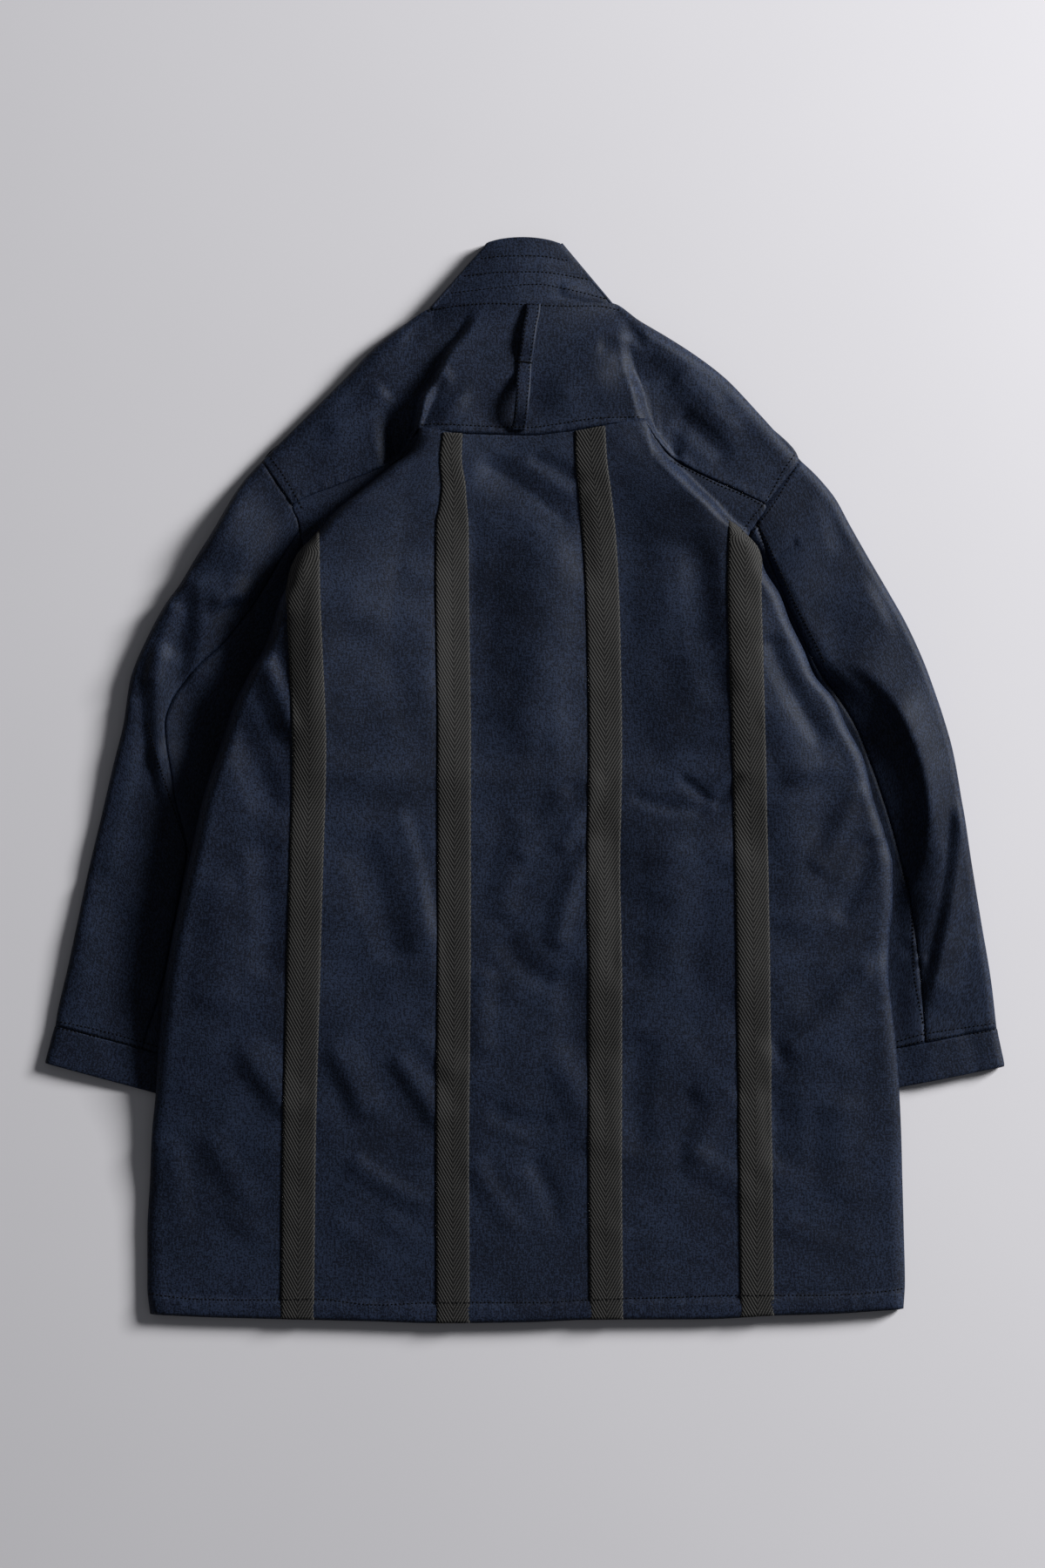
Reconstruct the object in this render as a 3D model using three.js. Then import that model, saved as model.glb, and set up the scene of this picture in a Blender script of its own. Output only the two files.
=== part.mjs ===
// A haori laid out face down: denim body, sleeves pulled down beside it, four herringbone tapes.
// Millimetres. +X to the wearer's right as it lies, +Y towards the collar, +Z up from the surface.
import * as THREE from 'three';

// ---- Driving dimensions ----
const CLOTH = 1.2;            // wall of one cloth layer
const BAND_WALL = 2.4;        // doubled cloth of the collar band
const CUFF_WALL = 2.0;        // doubled cloth of a cuff
const TAPE_WALL = 1.0;
const STRAP_WALL = 1.6;
const SEAM_GAP = 0.3;         // clear distance between pieces at a seam
const TAPE_HALF = 14.5;
const STRAP_HALF = 6.5;
const SLEEVE_TOP = 4.8;       // middle of the upper sleeve layer where the body lies on it
const BODY_OVER_SLEEVE = 6.3; // middle of the body's lower layer where it lies on a sleeve
const CUFF_LENGTH = 33;
const EDGE_ROUND = 12;        // width of the round of the body's side fold
const SLEEVE_ROUND = 7;       // width of the round of the sleeve's outer fold
const FLOOR = CLOTH / 2;      // middle of a layer that lies on the surface

// ---- Small mathematics ----
const mix = (a, b, t) => a + (b - a) * t;
const clamp = (t, low = 0, high = 1) => Math.min(high, Math.max(low, t));
const ease = (t) => clamp(t) ** 2 * (3 - 2 * clamp(t));

// Reads a column of a table whose key column rises or falls from row to row.
function reader(table, key, column) {
  const rows = [...table].sort((a, b) => a[key] - b[key]);
  return (k) => {
    if (k <= rows[0][key]) return rows[0][column];
    const i = rows.findIndex((row) => row[key] >= k);
    if (i < 0) return rows[rows.length - 1][column];
    const t = (k - rows[i - 1][key]) / (rows[i][key] - rows[i - 1][key]);
    return mix(rows[i - 1][column], rows[i][column], t);
  };
}

// Turns [[...], ...] with column names into rows that can be read by name.
const named = (columns, rows) => rows.map((row) =>
  Object.fromEntries(row.map((value, i) => [columns[i], value])));

// ---- Body: side folds, side seams and the height of the back ----
// left and right: how far the side fold lies from the middle; seamL and seamR: the side seam,
// the armhole or the yoke's outer seam; ends: height of the cloth at that seam.
const BODY = named(['y', 'left', 'right', 'seamL', 'seamR', 'ends'], [
  [302, 90.4, 104.5, 91.6, 105.6, 26],
  [290, 95.4, 113, 99, 115, 20],
  [277, 107, 123, 109, 127, 13.5],
  [266, 121, 134, 135, 148, 13],
  [256, 133, 144, 160, 169, 12.8],
  [247, 145, 153, 184, 190, 12.6],
  [238, 156, 162, 201, 208, 12.5],
  [225, 169, 174, 195, 200, 11.5],
  [211, 180, 191.5, 192.5, 192, 9.5],
  [196, 194, 202.3, 189, 189, 7.6],
  [180, 201.1, 207.3, 188, 187, 6.3],
  [160, 208.2, 219.8, 188, 186, 6.3],
  [138, 215.6, 228, 189, 187.5, 6.3],
  [114, 224.3, 239.8, 192.5, 192.5, 6.3],
  [92, 237.1, 249.1, 197, 199, 6.3],
  [70, 248.8, 267.1, 200.6, 204.4, 6.3],
  [48, 256, 277, 203, 206.5, 6.3],
  [20, 265.4, 291.5, 222, 226, 6.3],
  [-14, 276.6, 300, 240, 250, 6.3],
  [-44, 283.3, 309.9, 250, 266, 6.3],
  [-74, 290, 316.9, 259, 277, 6.3],
  [-104, 296.8, 316.9, 267, 284, 6.3],
  [-134, 303.3, 313.9, 274, 288, 6.3],
  [-165, 308.8, 313.2, 281, 291, 6.3],
  [-200, 312.6, 317, 288, 296, 6.3],
  [-235, 316, 320.8, 294, 302, 6.3],
  [-270, 318.2, 323.2, 299, 306, 6.3],
  [-302, 321.4, 324.7, 304, 309, 6.0],
  [-346, 323.6, 326.2, 308, 311, 0.6],
  [-392, 325.9, 327.4, 310, 312, 0.6],
  [-440, 325.9, 328.4, 310, 312, 0.6],
  [-463, 323.6, 327.2, 308, 311, 0.6],
]);
const BODY_ROWS = [302, 296, 290, 283, 277, 266, 256, 247, 238, 225, 211, 196, 180, 160, 138,
  114, 92, 70, 48, 20, -14, -44, -74, -104, -134, -165, -200, -235, -270, -302, -324, -346,
  -392, -440, -463];

// Height of the back's cloth above the surface: beside the side folds and in the middle.
const CROWN = named(['y', 'left', 'middle', 'right'], [
  [416, 24, 23, 24], [360, 27, 27, 28], [302, 29, 30, 29], [250, 31, 30, 31], [200, 32, 29, 31],
  [140, 31, 27, 30], [80, 30, 25, 28], [20, 28, 23, 26], [-75, 26, 20, 23], [-150, 22, 17, 20],
  [-230, 17, 14, 16], [-300, 13, 12, 13], [-380, 10.5, 10.5, 10.5], [-440, 9.6, 9.8, 9.6],
  [-465, 9.2, 9.6, 9.2],
]);

// Where the hem and the yoke seam run across the back.
const HEM = named(['x', 'y'], [[-324, -459.6], [-180, -463.5], [-77, -467], [0, -466],
  [120, -464], [215, -461], [328, -455]]);
const YOKE_SEAM = named(['x', 'y'], [[-90, 300], [-30, 299], [0, 300], [42, 301.5], [69, 303.8],
  [100, 308.5]]);

// Largest folds of the back: a soft ridge (up above 0) or trough from one point to another.
const FOLDS = named(['x0', 'y0', 'x1', 'y1', 'width', 'up'], [
  [-44, 282, 38, 228, 20, -7],
  [-78, 262, -84, 130, 22, 4],
  [118, 250, 104, 70, 38, -6],
  [60, 215, 62, 60, 26, 3],
  [150, 160, 190, -30, 30, 4],
  [-150, 150, -215, 30, 26, 4],
  [-228, 105, -204, 45, 16, 4],
  [230, 100, 262, 55, 18, 3],
  [-172, -200, -82, -262, 24, 4],
  [142, -272, 214, -226, 22, 4],
  [212, -325, 318, -235, 28, -3],
  [0, 40, -20, -120, 50, 3],
  [-110, -40, -120, -210, 40, -3],
  [130, -60, 128, -200, 40, -3],
]);

// Height that one fold adds at a place in plan, fading at both of its ends.
function foldHeight(fold, x, y) {
  const dx = fold.x1 - fold.x0;
  const dy = fold.y1 - fold.y0;
  const length = Math.hypot(dx, dy);
  const along = ((x - fold.x0) * dx + (y - fold.y0) * dy) / length;
  const across = ((x - fold.x0) * dy - (y - fold.y0) * dx) / length;
  const fade = ease((along + fold.width * 0.4) / (fold.width * 1.4))
    * ease((length + fold.width * 0.4 - along) / (fold.width * 1.4));
  return fold.up * fade * Math.exp(-((across / (fold.width * 0.6)) ** 2));
}

const sideFold = { left: reader(BODY, 'y', 'left'), right: reader(BODY, 'y', 'right') };
const seamOut = { left: reader(BODY, 'y', 'seamL'), right: reader(BODY, 'y', 'seamR') };
const seamHeight = reader(BODY, 'y', 'ends');
const crown = {
  left: reader(CROWN, 'y', 'left'),
  middle: reader(CROWN, 'y', 'middle'),
  right: reader(CROWN, 'y', 'right'),
};
const hemLine = reader(HEM, 'x', 'y');
const yokeSeam = reader(YOKE_SEAM, 'x', 'y');

// Height of the back where it lies open, between its two side folds.
function backHeight(x, y) {
  const side = x < 0 ? 'left' : 'right';
  const out = clamp(Math.abs(x) / sideFold[side](y));
  const folds = FOLDS.reduce((sum, fold) => sum + foldHeight(fold, x, y), 0);
  const calm = ease((y + 440) / 120);
  return mix(crown.middle(y), crown[side](y), ease(out)) + folds * calm;
}

// ---- Walls ----
// The way out of the cloth at each point of a grid.
// ring: the columns close on themselves.
function outward(grid, ring = false) {
  const rows = grid.length;
  const columns = grid[0].length;
  const at = (r, c) => grid[clamp(r, 0, rows - 1)][ring
    ? (c + columns) % columns : clamp(c, 0, columns - 1)];
  return grid.map((row, r) => row.map((_, c) => {
    const across = at(r, c + 1).clone().sub(at(r, c - 1));
    const along = at(r + 1, c).clone().sub(at(r - 1, c));
    return across.cross(along).normalize();
  }));
}

// A grid of points in the middle of the cloth becomes a closed wall of even thickness.
function wall(grid, thickness, { ring = false, lift = 0, normals = outward(grid, ring) } = {}) {
  const rows = grid.length;
  const columns = grid[0].length;
  const moved = (offset) => grid.flatMap((row, r) => row.map((p, c) => p.clone()
    .addScaledVector(normals[r][c], offset)));
  const outer = moved(lift + thickness / 2);
  const inner = moved(lift - thickness / 2);
  const count = outer.length;
  const index = [];
  const quad = (a, b, c, d) => index.push(a, b, c, a, c, d);
  const id = (r, c) => r * columns + (c % columns);
  const spans = ring ? columns : columns - 1;
  for (let r = 0; r < rows - 1; r += 1) {
    for (let c = 0; c < spans; c += 1) {
      const [a, b, d, e] = [id(r, c), id(r, c + 1), id(r + 1, c + 1), id(r + 1, c)];
      quad(a, b, d, e);
      quad(count + a, count + e, count + d, count + b);
    }
  }
  for (let c = 0; c < spans; c += 1) {
    const [a, b] = [id(0, c), id(0, c + 1)];
    quad(b, a, count + a, count + b);
    const [d, e] = [id(rows - 1, c), id(rows - 1, c + 1)];
    quad(d, e, count + e, count + d);
  }
  if (!ring) {
    for (let r = 0; r < rows - 1; r += 1) {
      const [a, b] = [id(r, 0), id(r + 1, 0)];
      quad(a, b, count + b, count + a);
      const [d, e] = [id(r, columns - 1), id(r + 1, columns - 1)];
      quad(e, d, count + d, count + e);
    }
  }
  const geometry = new THREE.BufferGeometry();
  const points = [...outer, ...inner].flatMap((p) => [p.x, p.y, p.z]);
  geometry.setAttribute('position', new THREE.Float32BufferAttribute(points, 3));
  geometry.setIndex(index);
  return geometry;
}

const point = (x, y, z) => new THREE.Vector3(x, y, z);

// Spreads a given number of points evenly along a short path of [out, z] pairs.
function spread(path, count) {
  const lengths = [0];
  for (let i = 1; i < path.length; i += 1) {
    const step = Math.hypot(path[i][0] - path[i - 1][0], path[i][1] - path[i - 1][1]);
    lengths.push(lengths[i - 1] + step);
  }
  const total = lengths[lengths.length - 1];
  return Array.from({ length: count }, (_, n) => {
    const goal = (total * (n + 1)) / count;
    const i = clamp(lengths.findIndex((l) => l >= goal - 1e-9), 1, path.length - 1);
    const t = (goal - lengths[i - 1]) / (lengths[i] - lengths[i - 1]);
    return [mix(path[i - 1][0], path[i][0], t), mix(path[i - 1][1], path[i][1], t)];
  });
}

// ---- Back panel ----
const TAPES = named(['y', 't1', 't2', 'half2', 't3', 't4'], [
  [302, -190, -62, 8.5, 55.7, 189.4],
  [276, -190, -63.4, 10, 56.8, 189.4],
  [253, -190, -60, 11.5, 60, 189.4],
  [223, -190, -62.3, 14, 63, 189.4],
  [172, -189.4, -62.6, 14.5, 66.3, 188.5],
  [122, -187.5, -62, 14.5, 68, 189.5],
  [32, -184.5, -60.8, 14.5, 69.4, 192.5],
  [-73, -187.5, -60.8, 14.5, 68, 195.2],
  [-172, -190.5, -61, 14.5, 69.6, 197],
  [-309, -194.6, -62.3, 14.5, 69.4, 199],
  [-463, -196.5, -62, 14.5, 70.6, 200.9],
]);
const tapeAt = Object.fromEntries(['t1', 't2', 'half2', 't3', 't4']
  .map((column) => [column, reader(TAPES, 'y', column)]));
const TURN_ROUND = 3;         // points round the upper half of a side fold
const TURN_UNDER = 5;         // points from the fold's middle, under, to the side seam
const SQUEEZE = 4;            // least distance between columns where the panel is narrow

// Columns across the open back, in order; the tapes' edges are columns of their own.
function openColumns(y, low, high) {
  const half2 = tapeAt.half2(y);
  const [a, b, c, d] = [tapeAt.t1(y), tapeAt.t2(y), tapeAt.t3(y), tapeAt.t4(y)];
  const room = Math.min(SQUEEZE, (b - half2 - low) / 8, (high - c - TAPE_HALF) / 8);
  const left = [low, 0, 0, Math.max(a - TAPE_HALF, low + 3 * room)];
  left[1] = mix(low, left[3], 1 / 3);
  left[2] = mix(low, left[3], 2 / 3);
  left.push(Math.max(a + TAPE_HALF, low + 5 * room));
  const right = [high, 0, 0, Math.min(d + TAPE_HALF, high - 3 * room)];
  right[1] = mix(high, right[3], 1 / 3);
  right[2] = mix(high, right[3], 2 / 3);
  right.push(Math.min(d - TAPE_HALF, high - 5 * room));
  const between = (from, to, count) => Array.from({ length: count },
    (_, n) => mix(from, to, (n + 1) / (count + 1)));
  return [...left, ...between(left[4], b - half2, 2), b - half2, b + half2,
    ...between(b + half2, c - TAPE_HALF, 3), c - TAPE_HALF, c + TAPE_HALF,
    ...between(c + TAPE_HALF, right[4], 2), ...right.reverse()];
}
const TAPE_COLUMNS = { tape_1: [3, 4], tape_2: [7, 8], tape_3: [12, 13], tape_4: [16, 17] };
const TAPE_TOPS = { tape_1: 196, tape_2: 302, tape_3: 302, tape_4: 196 };

// One side fold of the back at height y along it: round the fold and in to the side seam.
function sideTurn(side, y) {
  const sign = side === 'left' ? -1 : 1;
  const fold = sideFold[side](y);
  const ends = seamHeight(y);
  const round = Math.min(EDGE_ROUND, Math.max(4, (fold - 70) / 2));
  const top = backHeight(sign * (fold - round), y);
  const waist = mix(ends, top, 0.45);
  const reach = seamOut[side](y) - fold;
  const foot = clamp(reach, -7, 9);
  const over = [];
  for (let n = 1; n <= TURN_ROUND; n += 1) {
    const angle = (Math.PI / 2) * (n / TURN_ROUND);
    over.push([fold - round * (1 - Math.sin(angle)), waist + (top - waist) * Math.cos(angle)]);
  }
  const path = [[fold, waist]];
  for (let n = 1; n <= 4; n += 1) {
    const angle = (Math.PI / 2) * (n / 4);
    path.push([fold + foot * (1 - Math.cos(angle)), waist - (waist - ends) * Math.sin(angle)]);
  }
  if (Math.abs(reach - foot) > 1) path.push([fold + reach, ends]);
  return [...over, ...spread(path, TURN_UNDER)].map(([out, z]) => point(sign * out, y, z));
}

function backGrid() {
  return BODY_ROWS.map((y) => {
    const left = sideTurn('left', y).reverse();
    const right = sideTurn('right', y);
    const low = -sideFold.left(y) + Math.min(EDGE_ROUND, Math.max(4, (sideFold.left(y) - 70) / 2));
    const high = sideFold.right(y) - Math.min(EDGE_ROUND, Math.max(4, (sideFold.right(y) - 70) / 2));
    const open = openColumns(y, low, high).map((x) => point(x, y, backHeight(x, y)));
    const row = [...left, ...open, ...right];
    row.forEach((p) => {
      const toHem = (hemLine(p.x) + 463) * ease((-330 - y) / 133);
      const toSeam = (yokeSeam(p.x) - 302 - SEAM_GAP / 2) * ease((y - 262) / 40);
      p.y += toHem + (Math.abs(p.x) < 100 ? toSeam : 0);
    });
    return row;
  });
}

// The part of the panel's grid under a tape: a tape is these points, moved out to lie on it.
function underTape(grid, name) {
  const [first, last] = TAPE_COLUMNS[name].map((column) => column + TURN_ROUND + TURN_UNDER);
  const lowestFirst = [...BODY_ROWS].reverse();
  const rows = grid.filter((_, r) => lowestFirst[r] <= TAPE_TOPS[name]);
  return rows.map((row) => row.slice(first, last + 1));
}

// ---- Yoke ----
// Its upper edge follows the shoulder folds and the neck; its lower edge is the yoke seam.
const YOKE_UPPER = named(['x', 'y'], [
  [-226.9, 276.8], [-204, 300], [-181.9, 321.8], [-151.9, 351.8], [-129.4, 375.5],
  [-105, 394.1], [-79.1, 409.5], [-60, 412.5], [-41, 413.5], [-20, 414], [0, 414], [20, 414],
  [40, 414], [57, 413.5], [74.6, 413.3], [100, 397.5], [124.1, 383.3], [150, 366.5],
  [172.1, 349.5], [205, 315], [238.1, 277.5],
]);
const YOKE_LOWER = named(['x', 'y', 'z'], [
  [-201, 240, 12.5], [-184, 248, 12.6], [-160, 257, 12.8], [-135, 267, 13], [-110, 278.5, 14],
  [-104.5, 284.5, 17], [-100, 291, 20.6], [-95.6, 298, 24], [-90.4, 304, 27], [-60, 0, 0],
  [-30, 0, 0], [0, 0, 0], [30, 0, 0], [65, 0, 0], [100, 311, 28], [113.5, 296, 22.6],
  [120.5, 288, 18.6], [130, 279, 14], [148, 268, 13], [180, 253.5, 12.7], [208, 240, 12.5],
]);
const NECK_FIRST = 6;
const NECK_LAST = 14;
const SHOULDER_EDGE = 7.6;    // height of the shoulder fold's outermost line
const SHOULDER_ROUND = 14;
const YOKE_FOLDS = named(['y', 'left', 'right', 'step'], [
  [414, 41, 74, 0], [403, 41.5, 77, 0.1], [388, 47, 80, 0.25], [372, 61, 82, 0.5],
  [358, 68.6, 85, 0.8], [343, 76.9, 90, 1], [325, 86.5, 95, 1], [302, 90.4, 103, 1],
  [277, 108, 124, 1], [240, 155, 161, 1],
]);
const yokeFold = Object.fromEntries(['left', 'right', 'step']
  .map((column) => [column, reader(YOKE_FOLDS, 'y', column)]));
const CLIFF = 14;             // plan width of the drop from the back's crown to the shoulder

const neckHeight = (x) => 12 + 10 * clamp(1 - (x / 79) ** 2);
const shoulderHeight = (y) => 12.5 + 7 * ease((y - 250) / 140);

function yokeHeight(x, y) {
  const side = x < 0 ? 'left' : 'right';
  const past = Math.abs(x) - yokeFold[side](y);
  const drop = ease(past / CLIFF) * (side === 'right' ? yokeFold.step(y) : 1);
  const high = mix(crown.middle(y), crown[side](y), ease(Math.abs(x) / 100));
  return mix(high, shoulderHeight(y), drop);
}

function yokeGrid() {
  const steps = [0, 4, 10, 20, 40];
  const lower = YOKE_LOWER.map((p) => ({
    x: p.x,
    y: p.y || yokeSeam(p.x) + SEAM_GAP / 2,
    z: p.z || backHeight(p.x, yokeSeam(p.x)),
  }));
  const grid = steps.map(() => []);
  const tail = [0.4, 0.7, 1];
  tail.forEach(() => grid.push([]));
  const halves = (YOKE_UPPER.length - 1) * 2;
  for (let n = 0; n <= halves; n += 1) {
    const k = Math.min(Math.floor(n / 2), YOKE_UPPER.length - 2);
    const t = n / 2 - k;
    const from = point(mix(YOKE_UPPER[k].x, YOKE_UPPER[k + 1].x, t),
      mix(YOKE_UPPER[k].y, YOKE_UPPER[k + 1].y, t), 0);
    const to = point(mix(lower[k].x, lower[k + 1].x, t), mix(lower[k].y, lower[k + 1].y, t), 0);
    const seamZ = mix(lower[k].z, lower[k + 1].z, t);
    const length = from.distanceTo(to);
    const neck = n / 2 >= NECK_FIRST && n / 2 <= NECK_LAST;
    const reach = Math.min(1, (length * 0.6) / 40);
    const stops = steps.map((s) => (s * reach) / length);
    const lastStop = stops[stops.length - 1];
    tail.forEach((s) => stops.push(mix(lastStop, 1, s)));
    stops.forEach((s, row) => {
      const p = from.clone().lerp(to, s);
      const field = yokeHeight(p.x, p.y);
      const away = s * length;
      const edge = neck ? neckHeight(p.x) : SHOULDER_EDGE;
      const rise = neck ? ease(away / 34) : Math.sqrt(1 - (1 - clamp(away / SHOULDER_ROUND)) ** 2);
      p.z = mix(edge, field, rise) + (seamZ - yokeHeight(to.x, to.y)) * ease((s - 0.4) / 0.6);
      grid[row].push(p);
    });
  }
  return grid.reverse();
}

// ---- Sleeves ----
// Outer fold of a sleeve from the shoulder to the cuff, as distances from the middle.
const OUTLINE = {
  left: named(['x', 'y'], [[227.6, 276.2], [244, 258], [259, 234], [283.9, 193.5], [297.4, 171],
    [310.9, 152.3], [324, 128.3], [337.4, 98.6], [340.9, 87], [346.3, 51], [355, 15.8],
    [365.6, -29.3], [377.6, -79.5], [386.3, -120.8], [395.2, -162.4], [404.1, -201],
    [405.4, -210.2]]),
  right: named(['x', 'y'], [[238.8, 276.9], [258.4, 257.3], [268.1, 244.9], [280.1, 222.8],
    [296.6, 193.5], [313.9, 163.9], [328.9, 137.3], [343.9, 104.6], [361.7, 54.2],
    [369.1, 27.8], [377.6, -20], [385.1, -67.5], [394.1, -120.8], [403.1, -174],
    [407.6, -212.4]]),
};
const CUFF_ENDS = {
  left: { outerX: 414.4, outerY: -243, innerX: 248.4, innerY: -288.4 },
  right: { outerX: 414.4, outerY: -245.7, innerX: 246, innerY: -280 },
};
const INNER = {
  left: { fromX: 202.8, fromY: 66, toX: 239.4, toY: -255.6 },
  right: { fromX: 206.6, fromY: 66, toX: 239.2, toY: -246.7 },
};
// Armhole from the underarm (w 0) to the shoulder (w 1), with the height of the sleeve there.
const ARMHOLE = {
  left: named(['w', 'x', 'y', 'z'], [[0, 200.6, 69.8, 4.8], [0.2, 193.5, 110, 4.8],
    [0.38, 189, 148, 4.8], [0.54, 188.5, 182, 4.8], [0.63, 190.5, 197, 4.8],
    [0.71, 193.6, 211, 9.2], [0.8, 197.4, 231, 11.8], [0.84, 202.2, 240, 12.5],
    [1, 227.6, 276.2, 12.5]]),
  right: named(['w', 'x', 'y', 'z'], [[0, 204.4, 69.8, 4.8], [0.2, 193.5, 110, 4.8],
    [0.38, 187.5, 148, 4.8], [0.53, 187.5, 180, 4.8], [0.67, 192.4, 208, 4.8],
    [0.7, 195, 215, 9.6], [0.75, 201.6, 225, 11.6], [0.81, 209.2, 238, 12.5],
    [1, 238.8, 276.9, 12.5]]),
};
// Back seam of a sleeve, as a share of the way from the inner to the outer fold.
const BACK_SEAM = {
  left: named(['t', 'w'], [[0, 0.74], [0.2, 0.7], [0.4, 0.76], [0.5, 0.66], [0.6, 0.5],
    [0.8, 0.5], [1, 0.55]]),
  right: named(['t', 'w'], [[0, 0.74], [0.1, 0.65], [0.25, 0.56], [0.5, 0.6], [0.75, 0.66],
    [1, 0.634]]),
};
// Height of the open part of a sleeve.
const SLEEVE_CROWN = named(['y', 'z'], [[277, 13], [238, 13], [200, 15], [150, 17], [100, 18],
  [0, 18], [-100, 16], [-160, 12.5], [-205, 9.5], [-250, 8.6]]);
const sleeveCrown = reader(SLEEVE_CROWN, 'y', 'z');
const SLEEVE_FOLDS = {
  left: named(['x0', 'y0', 'x1', 'y1', 'width', 'up'], [[273, 150, 240, 158, 14, 5],
    [250, 142, 256, 100, 22, -5], [324, 86, 330, -6, 18, -5], [345, 60, 372, -90, 16, 3],
    [300, 60, 310, -20, 20, 3]]),
  right: named(['x0', 'y0', 'x1', 'y1', 'width', 'up'], [[272, 100, 335, 20, 18, 6],
    [335, 20, 326, -106, 18, 5], [322, -20, 330, -80, 16, -5], [377, -40, 352, -170, 18, 4],
    [320, 130, 300, 175, 18, 3], [300, 60, 310, 0, 16, -4]]),
};

function alongLine(line, share) {
  const lengths = [0];
  for (let i = 1; i < line.length; i += 1) {
    const step = Math.hypot(line[i].x - line[i - 1].x, line[i].y - line[i - 1].y);
    lengths.push(lengths[i - 1] + step);
  }
  const goal = share * lengths[lengths.length - 1];
  const i = clamp(lengths.findIndex((l) => l >= goal - 1e-9), 1, line.length - 1);
  const t = (goal - lengths[i - 1]) / (lengths[i] - lengths[i - 1]);
  return { x: mix(line[i - 1].x, line[i].x, t), y: mix(line[i - 1].y, line[i].y, t) };
}

// Ends of one row across a sleeve; t above 1 runs on over the cuff.
function sleeveRow(side, t) {
  const { fromX, fromY, toX, toY } = INNER[side];
  const cuff = CUFF_ENDS[side];
  if (t <= 1) {
    return {
      inner: { x: mix(fromX, toX, t), y: mix(fromY, toY, t) },
      outer: alongLine(OUTLINE[side], t),
    };
  }
  const last = alongLine(OUTLINE[side], 1);
  return {
    inner: { x: mix(toX, cuff.innerX, t - 1), y: mix(toY, cuff.innerY, t - 1) },
    outer: { x: mix(last.x, cuff.outerX, t - 1), y: mix(last.y, cuff.outerY, t - 1) },
  };
}

// A place on a sleeve in plan, with the height of its upper layer; w from inner to outer fold.
function sleevePlace(side, t, w) {
  const { inner, outer } = sleeveRow(side, t);
  const bend = 1 - ease(t / 0.38);
  const start = ARMHOLE[side];
  const shift = (axis) => bend * (reader(start, 'w', axis)(w)
    - mix(start[0][axis], start[start.length - 1][axis], w));
  const x = mix(inner.x, outer.x, w) + shift('x');
  const y = mix(inner.y, outer.y, w) + shift('y');
  const sign = side === 'left' ? -1 : 1;
  const clear = x - sideFold[side](y);
  const open = ease((clear + 1) / 26);
  const folds = SLEEVE_FOLDS[side].reduce((sum, fold) => sum + foldHeight(fold, x, y), 0);
  let z = mix(SLEEVE_TOP, sleeveCrown(y) + folds, open);
  const atSeam = reader(start, 'w', 'z')(w);
  z = mix(z, atSeam, 1 - ease(t / 0.12));
  return point(sign * x, y, Math.max(z, SLEEVE_TOP));
}

const SLEEVE_ROWS = [0, 0.04, 0.1, 0.17, 0.24, 0.31, 0.38, 0.45, 0.52, 0.6, 0.68, 0.76, 0.84,
  0.92, 1];
const INNER_TURN = 2.1;
const FRONT_SEAM = 0.5;

const OUTER_COLUMNS = 6 + 4 + 4;
const BODY_EDGE = -3;         // where a column lies, measured out from the body's side fold

// Columns of the upper layer: one lies just outside the body's side fold, where the sleeve
// starts to rise, so the cloth stays low under the body.
function upperShares(side, t, seam, edgeIn, edgeOut) {
  const clearAt = (w) => {
    const p = sleevePlace(side, t, w);
    return Math.abs(p.x) - sideFold[side](p.y) - BODY_EDGE;
  };
  let low = edgeIn;
  let high = edgeOut;
  for (let n = 0; n < 20; n += 1) {
    const middle = (low + high) / 2;
    if (clearAt(middle) > 0) high = middle;
    else low = middle;
  }
  const even = (from, to, count) => Array.from({ length: count },
    (_, n) => mix(from, to, n / count));
  const sewn = Math.max(seam, low + 0.05);
  return {
    innerShares: [...even(edgeIn, low, 2), ...even(low, sewn, 3), sewn],
    outerShares: [...even(sewn, edgeOut, 5), edgeOut],
    sewn,
  };
}

// One row round a sleeve: from the back seam over the outer fold to the front seam underneath,
// then on round the inner fold and back up to the back seam.
function ringRow(side, t, thickness) {
  const floor = thickness / 2;
  const { inner, outer } = sleeveRow(side, t);
  const length = Math.hypot(outer.x - inner.x, outer.y - inner.y);
  const seam = reader(BACK_SEAM[side], 't', 'w')(clamp(t));
  const gap = SEAM_GAP / 2 / length;
  const edgeOut = 1 - SLEEVE_ROUND / length;
  const edgeIn = INNER_TURN / length;
  const upper = (w) => {
    const p = sleevePlace(side, t, w);
    p.z -= (thickness - CLOTH) / 2;
    return p;
  };
  const lower = (w) => sleevePlace(side, t, w).setZ(floor);
  const turned = (pivot, reach, steps, from, to) => Array.from({ length: steps }, (_, n) => {
    const angle = mix(from, to, (n + 1) / (steps + 1));
    const p = upper(pivot + (reach * Math.cos(angle)) / length);
    p.z = mix(floor, upper(pivot).z, (1 + Math.sin(angle)) / 2);
    return p;
  });
  const walk = (from, to, steps, place) => Array.from({ length: steps + 1 },
    (_, n) => place(mix(from, to, n / steps)));
  const { innerShares, outerShares, sewn } = upperShares(side, t, seam, edgeIn, edgeOut);
  outerShares[0] = sewn + gap;
  innerShares[innerShares.length - 1] = sewn - gap;
  return [...outerShares.map(upper),
    ...turned(edgeOut, SLEEVE_ROUND, 4, Math.PI / 2, -Math.PI / 2),
    ...walk(edgeOut, FRONT_SEAM + gap, 3, lower),
    ...walk(FRONT_SEAM - gap, edgeIn, 3, lower),
    ...turned(edgeIn, -INNER_TURN, 3, -Math.PI / 2, Math.PI / 2),
    ...innerShares.map(upper)];
}

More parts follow.
